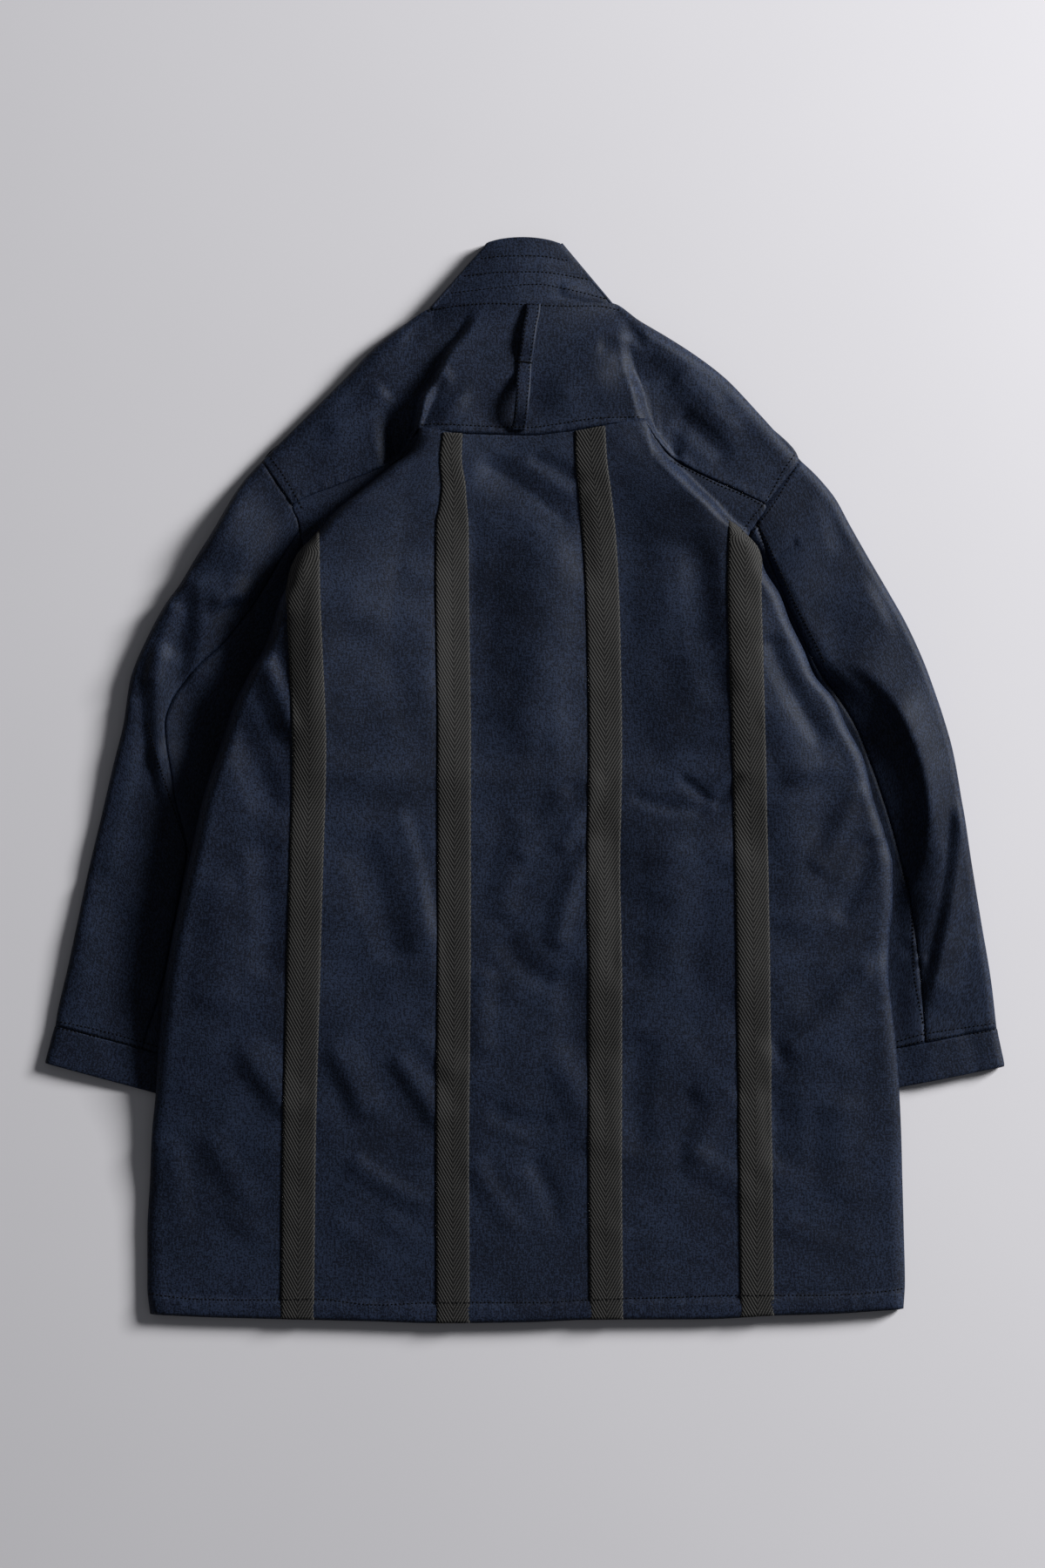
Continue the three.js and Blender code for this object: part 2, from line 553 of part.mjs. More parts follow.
// A sleeve's whole ring with the normals of its grid; the two sides of a seam share one normal.
function sleeveRing(side) {
  const grid = SLEEVE_ROWS.map((t) => ringRow(side, t, CLOTH));
  const normals = outward(grid, true);
  const last = grid[0].length - 1;
  normals.forEach((row) => {
    for (const [a, b] of [[0, last], [OUTER_COLUMNS - 1, OUTER_COLUMNS]]) {
      const shared = row[a].clone().add(row[b]).normalize();
      row[a] = shared;
      row[b] = shared;
    }
  });
  return { grid, normals };
}

// Cuts columns out of a ring; on the left side they run the other way round.
function ringPiece(ring, side, first, last) {
  const cut = (rows, sign) => rows.map((row) => {
    const piece = row.slice(first, last).map((v) => v.clone().multiplyScalar(sign));
    return side === 'right' ? piece : piece.reverse();
  });
  return { grid: cut(ring.grid, 1), normals: cut(ring.normals, side === 'right' ? 1 : -1) };
}

function cuffGrid(side) {
  const start = 1 + SEAM_GAP / CUFF_LENGTH;
  const grid = [start, 1.5, 2].map((t) => {
    const row = ringRow(side, t, CUFF_WALL);
    return row.filter((_, c) => c !== OUTER_COLUMNS && c !== row.length - 1);
  });
  return side === 'right' ? grid : grid.map((row) => row.reverse());
}

// ---- Front panels ----
const BAND_SEAM = named(['y', 'x'], [[413, 77.5], [250, 60], [-470, 60]]);
const frontInner = reader(BAND_SEAM, 'y', 'x');
const FRONT_HEM = -455;
const FRONT_ROWS = [FRONT_HEM, -385, -346, -326, -306, -270, -220, -165, -104, -44, 0, 34, 48,
  60, 74, 92, 114, 138, 160, 180, 211, 238, 250, 276, 300, 330, 360, 385, 405];
const SHOULDER_LINE = {
  left: named(['y', 'x'], [[409.5, 79.1], [394.1, 105], [375.5, 129.4], [351.8, 151.9],
    [321.8, 181.9], [300, 204], [276.8, 226.9], [259.5, 212], [240, 201], [225, 195]]),
  right: named(['y', 'x'], [[413.3, 74.6], [397.5, 100], [383.3, 124.1], [366.5, 150],
    [349.5, 172.1], [315, 205], [277.5, 238.1], [259, 224], [240, 209], [225, 200]]),
};
const LIFT_RAMP = 30;

// How high a front panel lies: on the surface, over a sleeve, or up to the shoulder fold.
function frontHeight(side, x, y, shoulder) {
  const { fromX, fromY, toX, toY } = INNER[side];
  const sleeve = mix(fromX, toX, (y - fromY) / (toY - fromY));
  const over = ease((x - sleeve + LIFT_RAMP + 4) / LIFT_RAMP) * ease((74 - y) / 26)
    * ease((y + 340) / 40);
  const rise = y > 262 ? ease(1 - (shoulder - x) / 32) * ease((y - 262) / 30) : 0;
  return FLOOR + (BODY_OVER_SLEEVE - FLOOR) * over + 6 * rise;
}

function frontGrid(side) {
  const sign = side === 'left' ? -1 : 1;
  const outline = reader(SHOULDER_LINE[side], 'y', 'x');
  const { fromX, fromY, toX, toY } = INNER[side];
  const grid = FRONT_ROWS.map((y) => {
    const outer = (y > 211 ? outline(y) : seamOut[side](y)) - SEAM_GAP - 0.6;
    const inner = frontInner(y) + SEAM_GAP;
    const sleeve = mix(fromX, toX, (y - fromY) / (toY - fromY));
    const ramp = [LIFT_RAMP + 6, LIFT_RAMP * 0.66 + 4, LIFT_RAMP * 0.33 + 4, 4]
      .map((before, n) => Math.min(sleeve - before, mix(inner, outer, 0.5 + n * 0.145)));
    const columns = [inner, mix(inner, ramp[0], 0.5), ...ramp, mix(ramp[3], outer, 0.5), outer];
    return columns.map((x) => point(sign * x, y, frontHeight(side, x, y, outer)));
  });
  return side === 'right' ? grid : grid.map((row) => row.reverse());
}

// ---- Collar band ----
// Two rails: the sewn edge and the free edge. Behind the neck it lies on top and slopes down;
// at the diagonal side folds it turns under and runs down each centre front.
const BAND_FLOOR = BAND_WALL / 2;
const BAND_TOP = 12.6;
const TURN = (BAND_TOP - BAND_FLOOR) / 2;
const FOLD_LINES = {
  left: { sewn: [-75, 413.8], free: [-29.5, 466] },
  right: { sewn: [72, 415.5], free: [26, 464] },
};
const BAND_ROWS = [0, 0.06, 0.12, 0.1855, 0.3, 0.4, 0.52, 0.64, 0.76, 0.88, 1];
const BAND_WIDTH_STEPS = 4;

function bandGrid() {
  const rows = [];
  const across = (sewn, free) => rows.push(Array.from({ length: BAND_WIDTH_STEPS + 1 },
    (_, n) => sewn.clone().lerp(free, n / BAND_WIDTH_STEPS)));
  const front = (side, share) => {
    const sign = side === 'left' ? -1 : 1;
    const line = FOLD_LINES[side];
    const y = mix(line.sewn[1] - 4, FRONT_HEM, share);
    const freeY = mix(line.free[1] - 4, FRONT_HEM, share);
    const freeX = mix(Math.abs(line.free[0]) - 1, 4, ease(share / 0.34));
    across(point(sign * (frontInner(y) - SEAM_GAP * 1.5), y, BAND_FLOOR),
      point(sign * freeX, freeY, BAND_FLOOR));
  };
  const turn = (side, angle) => {
    const line = FOLD_LINES[side];
    const run = new THREE.Vector2(line.free[0] - line.sewn[0], line.free[1] - line.sewn[1]);
    const out = new THREE.Vector2(-run.y, run.x).normalize();
    if (side === 'right') out.negate();
    const offset = out.multiplyScalar(TURN * Math.sin(angle));
    const z = BAND_FLOOR + TURN * (1 + Math.cos(angle));
    across(point(line.sewn[0] + offset.x, line.sewn[1] + offset.y, z),
      point(line.free[0] + offset.x, line.free[1] + offset.y, z));
  };
  [...BAND_ROWS].reverse().forEach((share) => front('left', share));
  for (let n = 6; n >= 1; n -= 1) turn('left', (Math.PI * n) / 6);
  const topSteps = 10;
  for (let n = 0; n <= topSteps; n += 1) {
    const s = n / topSteps;
    const bow = 1 - (2 * s - 1) ** 2;
    const sewnX = mix(FOLD_LINES.left.sewn[0], FOLD_LINES.right.sewn[0], s);
    const freeX = mix(FOLD_LINES.left.free[0], FOLD_LINES.right.free[0], s);
    across(point(sewnX, mix(413.8, 415.5, s) + 0.8 * bow, mix(BAND_TOP, neckHeight(sewnX), bow ** 0.5)),
      point(freeX, mix(466, 464, s) + 2.5 * bow, BAND_TOP));
  }
  for (let n = 1; n <= 6; n += 1) turn('right', (Math.PI * n) / 6);
  BAND_ROWS.forEach((share) => front('right', share));
  return rows;
}

// ---- Hanger loop ----
const STRAP = named(['y', 'x', 'up'], [[411.5, 7.6, 0.2], [403, 7, 5], [394, 5, 7.4],
  [384, 3.6, 7.6], [374, 2.3, 6], [366, 1, 2], [360, -0.1, 0], [354, -0.4, 0], [347, -0.7, 4],
  [338, -1.2, 9.5], [328, -2, 11.5], [319, -2.8, 10.5], [311, -3.6, 6.5], [305, -5, 1.4],
  [302, -5.6, 0.2]]);

function strapGrid() {
  const above = CLOTH / 2 + SEAM_GAP + STRAP_WALL / 2 + 0.1;
  return [...STRAP].reverse().map((row) => [-1, 0, 1].map((s) => {
    const x = row.x + s * STRAP_HALF;
    return point(x, row.y, restHeight(x, row.y) + above + row.up);
  }));
}

function restHeight(x, y) {
  const neck = ease((414 - y) / 34);
  return mix(neckHeight(x), yokeHeight(x, y), neck);
}

// ---- Cloth and tape as they look ----
const denim = (name) => new THREE.MeshStandardMaterial({
  name, color: 0x1d2431, roughness: 0.78, metalness: 0,
});
const twill = (name) => new THREE.MeshStandardMaterial({
  name, color: 0x3a3a38, roughness: 0.85, metalness: 0,
});

const haori = new THREE.Group();
function add(name, geometry, material = denim) {
  geometry.computeVertexNormals();
  const mesh = new THREE.Mesh(geometry, material(name));
  mesh.name = name;
  haori.add(mesh);
}

const back = backGrid().reverse();
const backNormals = outward(back);
add('back_panel', wall(back, CLOTH, { normals: backNormals }));
add('back_yoke', wall(yokeGrid(), CLOTH));
for (const side of ['left', 'right']) {
  const ring = sleeveRing(side);
  const outerPiece = ringPiece(ring, side, 0, OUTER_COLUMNS);
  const innerPiece = ringPiece(ring, side, OUTER_COLUMNS, ring.grid[0].length);
  add(`front_${side}`, wall(frontGrid(side), CLOTH));
  add(`sleeve_${side}`, wall(outerPiece.grid, CLOTH, { normals: outerPiece.normals }));
  add(`undersleeve_${side}`, wall(innerPiece.grid, CLOTH, { normals: innerPiece.normals }));
  add(`cuff_${side}`, wall(cuffGrid(side), CUFF_WALL, { ring: true }));
}
for (const name of Object.keys(TAPE_COLUMNS)) {
  const lift = CLOTH / 2 + SEAM_GAP + TAPE_WALL / 2;
  const normals = underTape(backNormals, name);
  add(name, wall(underTape(back, name), TAPE_WALL, { lift, normals }), twill);
}
add('collar_band', wall(bandGrid(), BAND_WALL));
add('hanger_loop', wall(strapGrid(), STRAP_WALL));

export default haori;
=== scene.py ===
import math

import bmesh
import bpy
import numpy as np
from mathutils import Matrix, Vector, noise
from mathutils.bvhtree import BVHTree


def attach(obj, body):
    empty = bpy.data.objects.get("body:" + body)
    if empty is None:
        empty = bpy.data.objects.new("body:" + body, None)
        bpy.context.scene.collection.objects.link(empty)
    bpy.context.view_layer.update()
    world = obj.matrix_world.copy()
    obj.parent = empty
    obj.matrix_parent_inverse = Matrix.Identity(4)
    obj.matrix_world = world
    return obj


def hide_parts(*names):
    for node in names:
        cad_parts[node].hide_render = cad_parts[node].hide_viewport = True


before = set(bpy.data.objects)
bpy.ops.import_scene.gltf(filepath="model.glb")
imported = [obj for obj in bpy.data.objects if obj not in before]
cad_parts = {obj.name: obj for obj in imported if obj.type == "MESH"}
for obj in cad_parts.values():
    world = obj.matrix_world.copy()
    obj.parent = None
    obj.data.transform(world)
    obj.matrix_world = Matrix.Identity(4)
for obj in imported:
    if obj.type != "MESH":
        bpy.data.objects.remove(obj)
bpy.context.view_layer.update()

# ---------------------------------------------------------------- back panel
# One width of dark navy denim from the yoke seam to the hem, which is turned up twice. At both
# sides it folds over and runs on underneath to the side seams, so only its middle shows from
# above. Places are given in millimetres and written into the mesh in metres.
MM = 0.001
CLOTH = 1.2
HALF = CLOTH / 2
SEAM_GAP = 0.3


def ease(t):
    t = np.clip(t, 0.0, 1.0)
    return t * t * (3 - 2 * t)


def mix(a, b, t):
    return a + (b - a) * t


def curve(keys, values):
    """A smooth line through a table's points that never swings past them."""
    order = np.argsort(keys)
    x = np.array(keys, float)[order]
    y = np.array(values, float)[order]
    h = np.diff(x)
    d = np.diff(y) / h
    m = np.zeros_like(y)
    same = d[:-1] * d[1:] > 0
    m[1:-1][same] = (2 * d[:-1] * d[1:] / (d[:-1] + d[1:] + 1e-30))[same]
    m[0], m[-1] = d[0], d[-1]

    def read(t):
        t = np.clip(t, x[0], x[-1])
        i = np.clip(np.searchsorted(x, t) - 1, 0, len(x) - 2)
        s = (t - x[i]) / h[i]
        a = (1 + 2 * s) * (1 - s) ** 2 * y[i] + s * (1 - s) ** 2 * h[i] * m[i]
        return a + s * s * (3 - 2 * s) * y[i + 1] + s * s * (s - 1) * h[i] * m[i + 1]

    return read


def columns(key, names, rows):
    """Smooth readers, by column name, of a table with named columns."""
    place = names.index(key)
    keys = [row[place] for row in rows]
    return {n: curve(keys, [row[i] for row in rows]) for i, n in enumerate(names) if n != key}


LEFT_FOLD = curve(
    [302, 289.5, 282, 271.5, 259.5, 247.5, 238.5, 228, 216, 208.5, 197.3, 182.3, 167.3, 156, 138,
     114.8, 91.5, 65.3, 25.5, -14, -44, -74, -104, -134, -165, -200, -235, -270, -302, -346, -392,
     -440, -463],
    [90.4, 94.5, 101.5, 114.4, 129.4, 144.4, 155.6, 166.9, 175.8, 182.5, 193.1, 200.6, 204.4, 210.4,
     215.6, 223.9, 237.4, 250.1, 263.6, 276.6, 283.3, 290, 296.8, 303.3, 308.8, 312.6, 316, 318.2,
     321.4, 323.6, 325.9, 325.9, 323.6])
RIGHT_FOLD = curve(
    [302, 294.8, 283.5, 274.5, 263.3, 252, 241.5, 231, 225, 218.3, 210.8, 202.5, 195, 184.5, 160.9,
     138, 114, 92, 70, 48, 20, -14, -44, -74, -104, -134, -165, -200, -235, -270, -302, -346, -392,
     -440, -463],
    [104.5, 109.1, 118.1, 125.6, 136.9, 148.1, 159.4, 169.1, 175, 184.1, 191.6, 199.1, 202.9, 205.5,
     219.4, 228, 239.8, 249.1, 267.1, 277, 291.5, 300, 309.9, 316.9, 316.9, 313.9, 313.2, 317,
     320.8, 323.2, 324.7, 326.2, 327.4, 328.4, 327.2])
SEAMS = columns("y", ["y", "left", "right", "height"], [
    [302, 91.6, 105.6, 26], [290, 99, 115, 20], [277, 109, 127, 13.5], [266, 135, 148, 13],
    [256, 160, 169, 12.8], [247, 184, 190, 12.6], [238, 201, 208, 12.5], [225, 195, 200, 11.5],
    [211, 192.5, 192, 9.5], [196, 189, 189, 7.6], [180, 188, 187, 6.3], [160, 188, 186, 6.3],
    [138, 189, 187.5, 6.3], [114, 192.5, 192.5, 6.3], [92, 197, 199, 6.3], [70, 200.6, 204.4, 6.3],
    [48, 203, 206.5, 6.3], [20, 222, 226, 6.3], [-14, 240, 250, 6.3], [-44, 250, 266, 6.3],
    [-74, 259, 277, 6.3], [-104, 267, 284, 6.3], [-134, 274, 288, 6.3], [-165, 281, 291, 6.3],
    [-200, 288, 296, 6.3], [-235, 294, 302, 6.3], [-270, 299, 306, 6.3], [-302, 304, 309, 6.0],
    [-346, 308, 311, 0.6], [-392, 310, 312, 0.6], [-440, 310, 312, 0.6], [-463, 308, 311, 0.6]])
CROWN = columns("y", ["y", "left", "middle", "right"], [
    [416, 24, 23, 24], [360, 29, 27, 29], [302, 33, 30, 32], [250, 36, 30, 32], [200, 37, 29, 30],
    [140, 38, 27, 28.5], [80, 38, 25, 27], [20, 37, 23, 25], [-75, 35, 20, 22], [-150, 30, 17, 19],
    [-230, 22, 14, 15.5], [-300, 13.5, 12, 12.5], [-380, 9.8, 10.5, 10.5], [-440, 9.2, 9.8, 9.6],
    [-465, 9.2, 9.6, 9.2]])
HEM_LINE = curve([-324, -270, -128, -77, 0, 57, 157, 215, 259, 316, 328],
                 [-459.6, -462, -465.5, -467, -466.2, -464, -463.6, -460.5, -459.3, -455.8, -455])
YOKE_SEAM = curve([-90, -78, -46, 0, 42, 69, 100], [299.4, 300, 299, 297.6, 301.5, 305.8, 307.5])


def soft_noise(x, y, size, seed):
    """Smooth random waves of about the given size, from -1 to 1, at every place of two arrays."""
    flat = [noise.noise(Vector((a / size, b / size, seed))) for a, b in zip(np.ravel(x), np.ravel(y))]
    return np.array(flat).reshape(np.shape(x))


# A fold runs along a gentle curve through three places. Up is its height, below 0 for a trough;
# left and right are how far it reaches on each side, seen from its start towards its end; round
# is how blunt its crest is. Its flanks are nearly straight, as stiff cloth folds.
def fold_heights(table, x, y):
    total = np.zeros(np.shape(x))
    for x0, y0, xm, ym, x1, y1, up, left, right, blunt in table:
        reach = max(left, right) * 1.8
        near = ((x > min(x0, xm, x1) - reach) & (x < max(x0, xm, x1) + reach)
                & (y > min(y0, ym, y1) - reach) & (y < max(y0, ym, y1) + reach))
        if not near.any():
            continue
        px, py = x[near], y[near]
        steps = np.linspace(0, 1, 13)
        cx, cy = 2 * xm - (x0 + x1) / 2, 2 * ym - (y0 + y1) / 2
        qx = (1 - steps) ** 2 * x0 + 2 * steps * (1 - steps) * cx + steps ** 2 * x1
        qy = (1 - steps) ** 2 * y0 + 2 * steps * (1 - steps) * cy + steps ** 2 * y1
        best = np.full(px.shape, 1e9)
        side = np.zeros(px.shape)
        share = np.zeros(px.shape)
        for i in range(12):
            ax, ay = qx[i + 1] - qx[i], qy[i + 1] - qy[i]
            length = ax * ax + ay * ay
            t = ((px - qx[i]) * ax + (py - qy[i]) * ay) / length
            inside = np.clip(t, 0, 1)
            dx, dy = px - qx[i] - inside * ax, py - qy[i] - inside * ay
            far = np.hypot(dx, dy)
            closer = far < best
            best = np.where(closer, far, best)
            side = np.where(closer, ax * dy - ay * dx, side)
            low = t if i == 0 else inside
            run = low if i < 11 else np.maximum(low, t)
            share = np.where(closer, (i + run) / 12, share)
        width = np.where(side > 0, left, right)
        length = np.hypot(np.diff(qx), np.diff(qy)).sum()
        taper = min(0.42, 1.1 * max(left, right) / length)
        along = ease(share / taper) * ease((1 - share) / taper)
        flank = 1 - (np.sqrt(best ** 2 + blunt ** 2) - blunt) / width
        flank = (flank + np.sqrt(flank ** 2 + 0.03)) / 2
        far_end = ease((reach - best) / (0.5 * reach))
        total[near] += up * along * flank * far_end
    return total


BODY_FOLDS = [
    # upper back, below the yoke seam
    (105, 298, 141, 254, 183, 194, 7, 30, 60, 4),
    (178, 226, 184, 104, 187, -28, 7.5, 60, 88, 5),
    (90, 284, 85, 134, 82, -32, -6.5, 94, 52, 8),
    (153, 208, 157, 126, 178, 66, -2, 10, 16, 6),
    (-41, 254, -45, 126, -46, -5, -4.6, 52, 34, 3),
    (-180, 231, -179, 104, -177, -24, 10.5, 99, 26, 6),
    (-43, 278, 0, 252, 46, 214, -3.6, 16, 20, 1.5),
    (1, 284, 30, 267, 51, 252, -1.6, 9, 9, 2),
    (13, 224, 7, 134, -2, 14, 2.6, 30, 27, 10),
    (43, 254, 49, 216, 52, 164, -2.2, 10, 18, 3),
    (-228, 115, -213, 81, -197, 34, 5, 10, 15, 2),
    (-255, 69, -233, 22, -213, -32, -3, 12, 16, 5),
    (-77, 194, -78, 134, -80, 44, 2, 12, 30, 5),
    (208, 128, 228, 81, 259, 32, -2.4, 9, 10, 2.5),
    (211, 74, 227, 36, 246, -5, 2.4, 16, 14, 6),
    (246, 148, 264, 115, 287, 74, 2, 10, 10, 4),
    (141, 224, 148, 164, 153, 104, -2.2, 16, 22, 8),
    (-122, 254, -137, 194, -144, 118, 1.8, 22, 22, 10),
    (-186, 224, -197, 186, -204, 134, 2.4, 12, 10, 4),
    # across the middle, with the crease of the put-away fold
    (-281, 15, -32, 3, 300, 12, 1.5, 20, 27, 1.5),
    (130, 6, 148, -6, 163, -21, -2, 5, 8, 1.2),
    (186, 10, 175, -6, 160, -22, -2, 7, 6, 1.2),
    (90, -10, 121, -21, 160, -24, -1.4, 8, 6, 1.5),
    (67, 10, 46, -28, 28, -66, 2.6, 10, 14, 2),
    (61, -44, 37, -99, 28, -146, 2.6, 10, 12, 2),
    (39, -2, 18, -39, -8, -70, 1.8, 10, 12, 3),
    (6, -24, -12, -76, -21, -122, 1.8, 12, 14, 4),
    (-113, -20, -95, -76, -80, -160, 2.2, 9, 26, 3),
    (-99, -76, -84, -136, -78, -208, 2.2, 9, 45, 4),
    (-148, -46, -122, -106, -113, -159, -2.2, 14, 16, 6),
    (-21, -129, 1, -159, 28, -174, -1.8, 12, 10, 4),
    (76, -24, 79, -106, 76, -182, -3.4, 27, 12, 3),
    (118, -46, 129, -106, 122, -174, 2, 20, 18, 8),
    (183, -32, 186, -122, 184, -212, 3.2, 22, 38, 4),
    (223, -2, 232, -69, 228, -136, 2.2, 20, 18, 8),
    (287, 2, 270, -43, 249, -80, 2.4, 10, 12, 3),
    (298, -46, 287, -84, 268, -122, -2, 9, 10, 4),
    (-272, -76, -264, -136, -272, -204, 1.8, 16, 15, 8),
    (-227, -46, -219, -106, -222, -174, -2.2, 12, 14, 5),
    (-32, -159, -38, -196, -35, -242, 1.8, 12, 10, 4),
    (28, -159, 43, -204, 36, -256, -1.6, 14, 14, 6),
    # lower body
    (-249, -220, -222, -260, -195, -291, 3.2, 20, 12, 2.5),
    (-171, -216, -150, -258, -134, -296, 3.4, 20, 12, 2.5),
    (-119, -230, -92, -264, -72, -304, 3.2, 18, 10, 2.2),
    (-99, -212, -77, -237, -54, -254, 1.8, 14, 10, 4),
    (307, -146, 262, -201, 217, -238, 4, 20, 15, 2.5),
    (218, -225, 180, -250, 141, -276, 3.2, 15, 12, 2.5),
    (186, -264, 159, -294, 144, -332, 2, 12, 10, 4),
    (208, -249, 217, -294, 213, -339, -3, 20, 10, 4),
    (268, -264, 276, -316, 268, -369, 2, 20, 16, 8),
    (28, -226, 45, -272, 58, -324, 2, 15, 14, 6),
    (103, -212, 94, -272, 103, -324, -1.8, 14, 14, 6),
    (-152, -322, -119, -348, -80, -366, 1.9, 9, 10, 2.5),
    (-275, -298, -255, -340, -227, -376, 2, 14, 12, 4),
    (-263, -362, -233, -390, -200, -406, 1.6, 9, 10, 3),
    (-170, -376, -129, -406, -96, -438, 1.9, 9, 10, 2.5),
    (-129, -370, -99, -392, -73, -406, 1.5, 9, 9, 3),
    (-47, -321, -23, -366, 1, -394, 1.8, 10, 10, 3),
    (3, -324, 21, -354, 28, -392, -1.6, 9, 9, 3),
    (10, -404, 21, -423, 34, -440, 1.3, 7, 7, 2.5),
    (105, -406, 144, -416, 187, -406, -1.3, 8, 6, 1.8),
    (66, -376, 88, -394, 124, -399, 1.2, 8, 8, 3),
    (223, -376, 253, -399, 298, -406, 1.4, 10, 10, 4),
    (133, -324, 171, -339, 201, -369, 1.5, 12, 12, 5),
    (-32, -279, -2, -294, 28, -291, -1.4, 9, 9, 4),
    (-309, -302, -299, -362, -302, -422, 1.6, 10, 9, 5),
]
FOLD_ROUND = 12.0
HEM_DEEP = 17.0
HEM_THICKER = 0.9
HEM_DRAWN_IN = 0.7


def round_at(fold):
    return np.minimum(FOLD_ROUND, np.maximum(4, (fold - 70) / 2))


def back_height(x, y):
    """Height of the middle of the back's cloth where it lies open."""
    left = x < 0
    side_fold = np.where(left, LEFT_FOLD(y), RIGHT_FOLD(y))
    out = np.clip(np.abs(x) / side_fold, 0, 1)
    side = np.where(left, CROWN["left"](y), CROWN["right"](y))
    calm = ease((y + 440) / 120)
    waves = soft_noise(x, y * 0.7, 62, 3.1) * 1.6 + soft_noise(x, y, 26, 8.4) * 0.8
    # close by the edge of the side fold the cloth rolls over and stays smooth
    still = ease((side_fold - np.abs(x)) / 26)
    ripple = soft_noise(x, y, 11, 5.2) * 0.16
    return (mix(CROWN["middle"](y), side, ease(out))
            + (fold_heights(BODY_FOLDS, x, y) + waves * still) * calm + ripple)


# cells of cloth over a side fold, under it, and across the open middle
OVER = 9
UNDER = 22
OPEN = 217


def side_turn(sign, y, top_z):
    """One side fold at height y: round the fold and in, underneath, to the side seam."""
    fold = float((LEFT_FOLD if sign < 0 else RIGHT_FOLD)(y))
    reach = float(SEAMS["left" if sign < 0 else "right"](y)) - fold
    ends = float(SEAMS["height"](y))
    bend = float(round_at(fold))
    waist = mix(ends, top_z, 0.45)
    foot = min(max(reach, -7), 9)
    a = np.linspace(0, np.pi / 2, OVER + 1)[1:]
    over = np.stack([fold - bend * (1 - np.sin(a)), waist + (top_z - waist) * np.cos(a)], axis=1)
    a = np.linspace(0, np.pi / 2, 12)
    path = np.stack([fold + foot * (1 - np.cos(a)), waist - (waist - ends) * np.sin(a)], axis=1)
    if abs(reach - foot) > 1:
        path = np.vstack([path, [fold + reach, ends]])
    length = np.concatenate([[0], np.cumsum(np.hypot(*np.diff(path, axis=0).T))])
    goal = np.linspace(0, length[-1], UNDER + 1)[1:]
    under = np.stack([np.interp(goal, length, path[:, k]) for k in range(2)], axis=1)
    both = np.vstack([over, under])
    return np.stack([sign * both[:, 0], np.full(len(both), y), both[:, 1]], axis=1)


def shift_ends(x, y):
    """Moves the first and last rows onto the yoke seam and the hem line."""
    hem = (HEM_LINE(x) + 463) * ease((-330 - y) / 133)
    seam = (YOKE_SEAM(x) - 302 - SEAM_GAP / 2) * ease((y - 262) / 40)
    return y + hem + np.where(np.abs(x) < 108, seam, 0)


SAME_PLACE = 0.000002


def outward(points, ring=False):
    """The way out of the cloth at each point of a grid; ring: its columns close on themselves."""
    if ring:
        wide = np.concatenate([points[:, -2:-1], points, points[:, 1:2]], axis=1)
        across = wide[:, 2:] - wide[:, :-2]
    else:
        across = np.gradient(points, axis=1)
    along = np.gradient(points, axis=0)
    n = np.cross(across, along)
    return n / np.maximum(np.linalg.norm(n, axis=2, keepdims=True), 1e-9)


def arc(points, axis, middle=None):
    """Distance along the cloth from one column, or from the first one, in metres."""
    step = np.linalg.norm(np.diff(points, axis=axis), axis=2)
    pad = [(0, 0), (0, 0)]
    pad[axis] = (1, 0)
    total = np.cumsum(np.pad(step, pad), axis=axis)
    if middle is not None:
        total = total - np.take(total, [middle], axis=axis)
    return total * MM


def object_from(bm, name):
    """Puts a finished shape into the scene under its name, smooth all over."""
    mesh = bpy.data.meshes.new(name)
    bm.to_mesh(mesh)
    bm.free()
    mesh.polygons.foreach_set("use_smooth", [True] * len(mesh.polygons))
    obj = bpy.data.objects.new(name, mesh)
    bpy.context.scene.collection.objects.link(obj)
    return obj


def cloth(name, points, wall, uv=None, ring=False, lift=0.0, normals=None):
    """A piece of cloth on a grid of points in the middle of its wall."""
    rows, cols = points.shape[:2]
    if normals is None:
        normals = outward(points, ring)
    out = points + normals * lift
    if uv is None:
        uv = np.stack([arc(points, 1, cols // 2), arc(points, 0)], axis=2)
    bm = bmesh.new()
    bmesh.ops.create_grid(bm, x_segments=cols - 1, y_segments=rows - 1, size=1.0)
    cell = {}
    for v in bm.verts:
        c = round((v.co.x + 1) / 2 * (cols - 1))
        r = round((v.co.y + 1) / 2 * (rows - 1))
        cell[v.index] = (r, c)
    layer = bm.loops.layers.uv.new("UVMap")
    for face in bm.faces:
        for loop in face.loops:
            loop[layer].uv = uv[cell[loop.vert.index]]
    for v in bm.verts:
        v.co = Vector(out[cell[v.index]] * MM)
    if ring:
        bmesh.ops.remove_doubles(bm, verts=bm.verts, dist=SAME_PLACE)
    obj = object_from(bm, name)
    # only the rim is given the wall's thickness, since the inner face never shows
    edge = obj.modifiers.new("wall", "SOLIDIFY")
    edge.thickness = wall * MM
    edge.offset = -1
    edge.use_rim = True
    edge.use_rim_only = True
    return obj


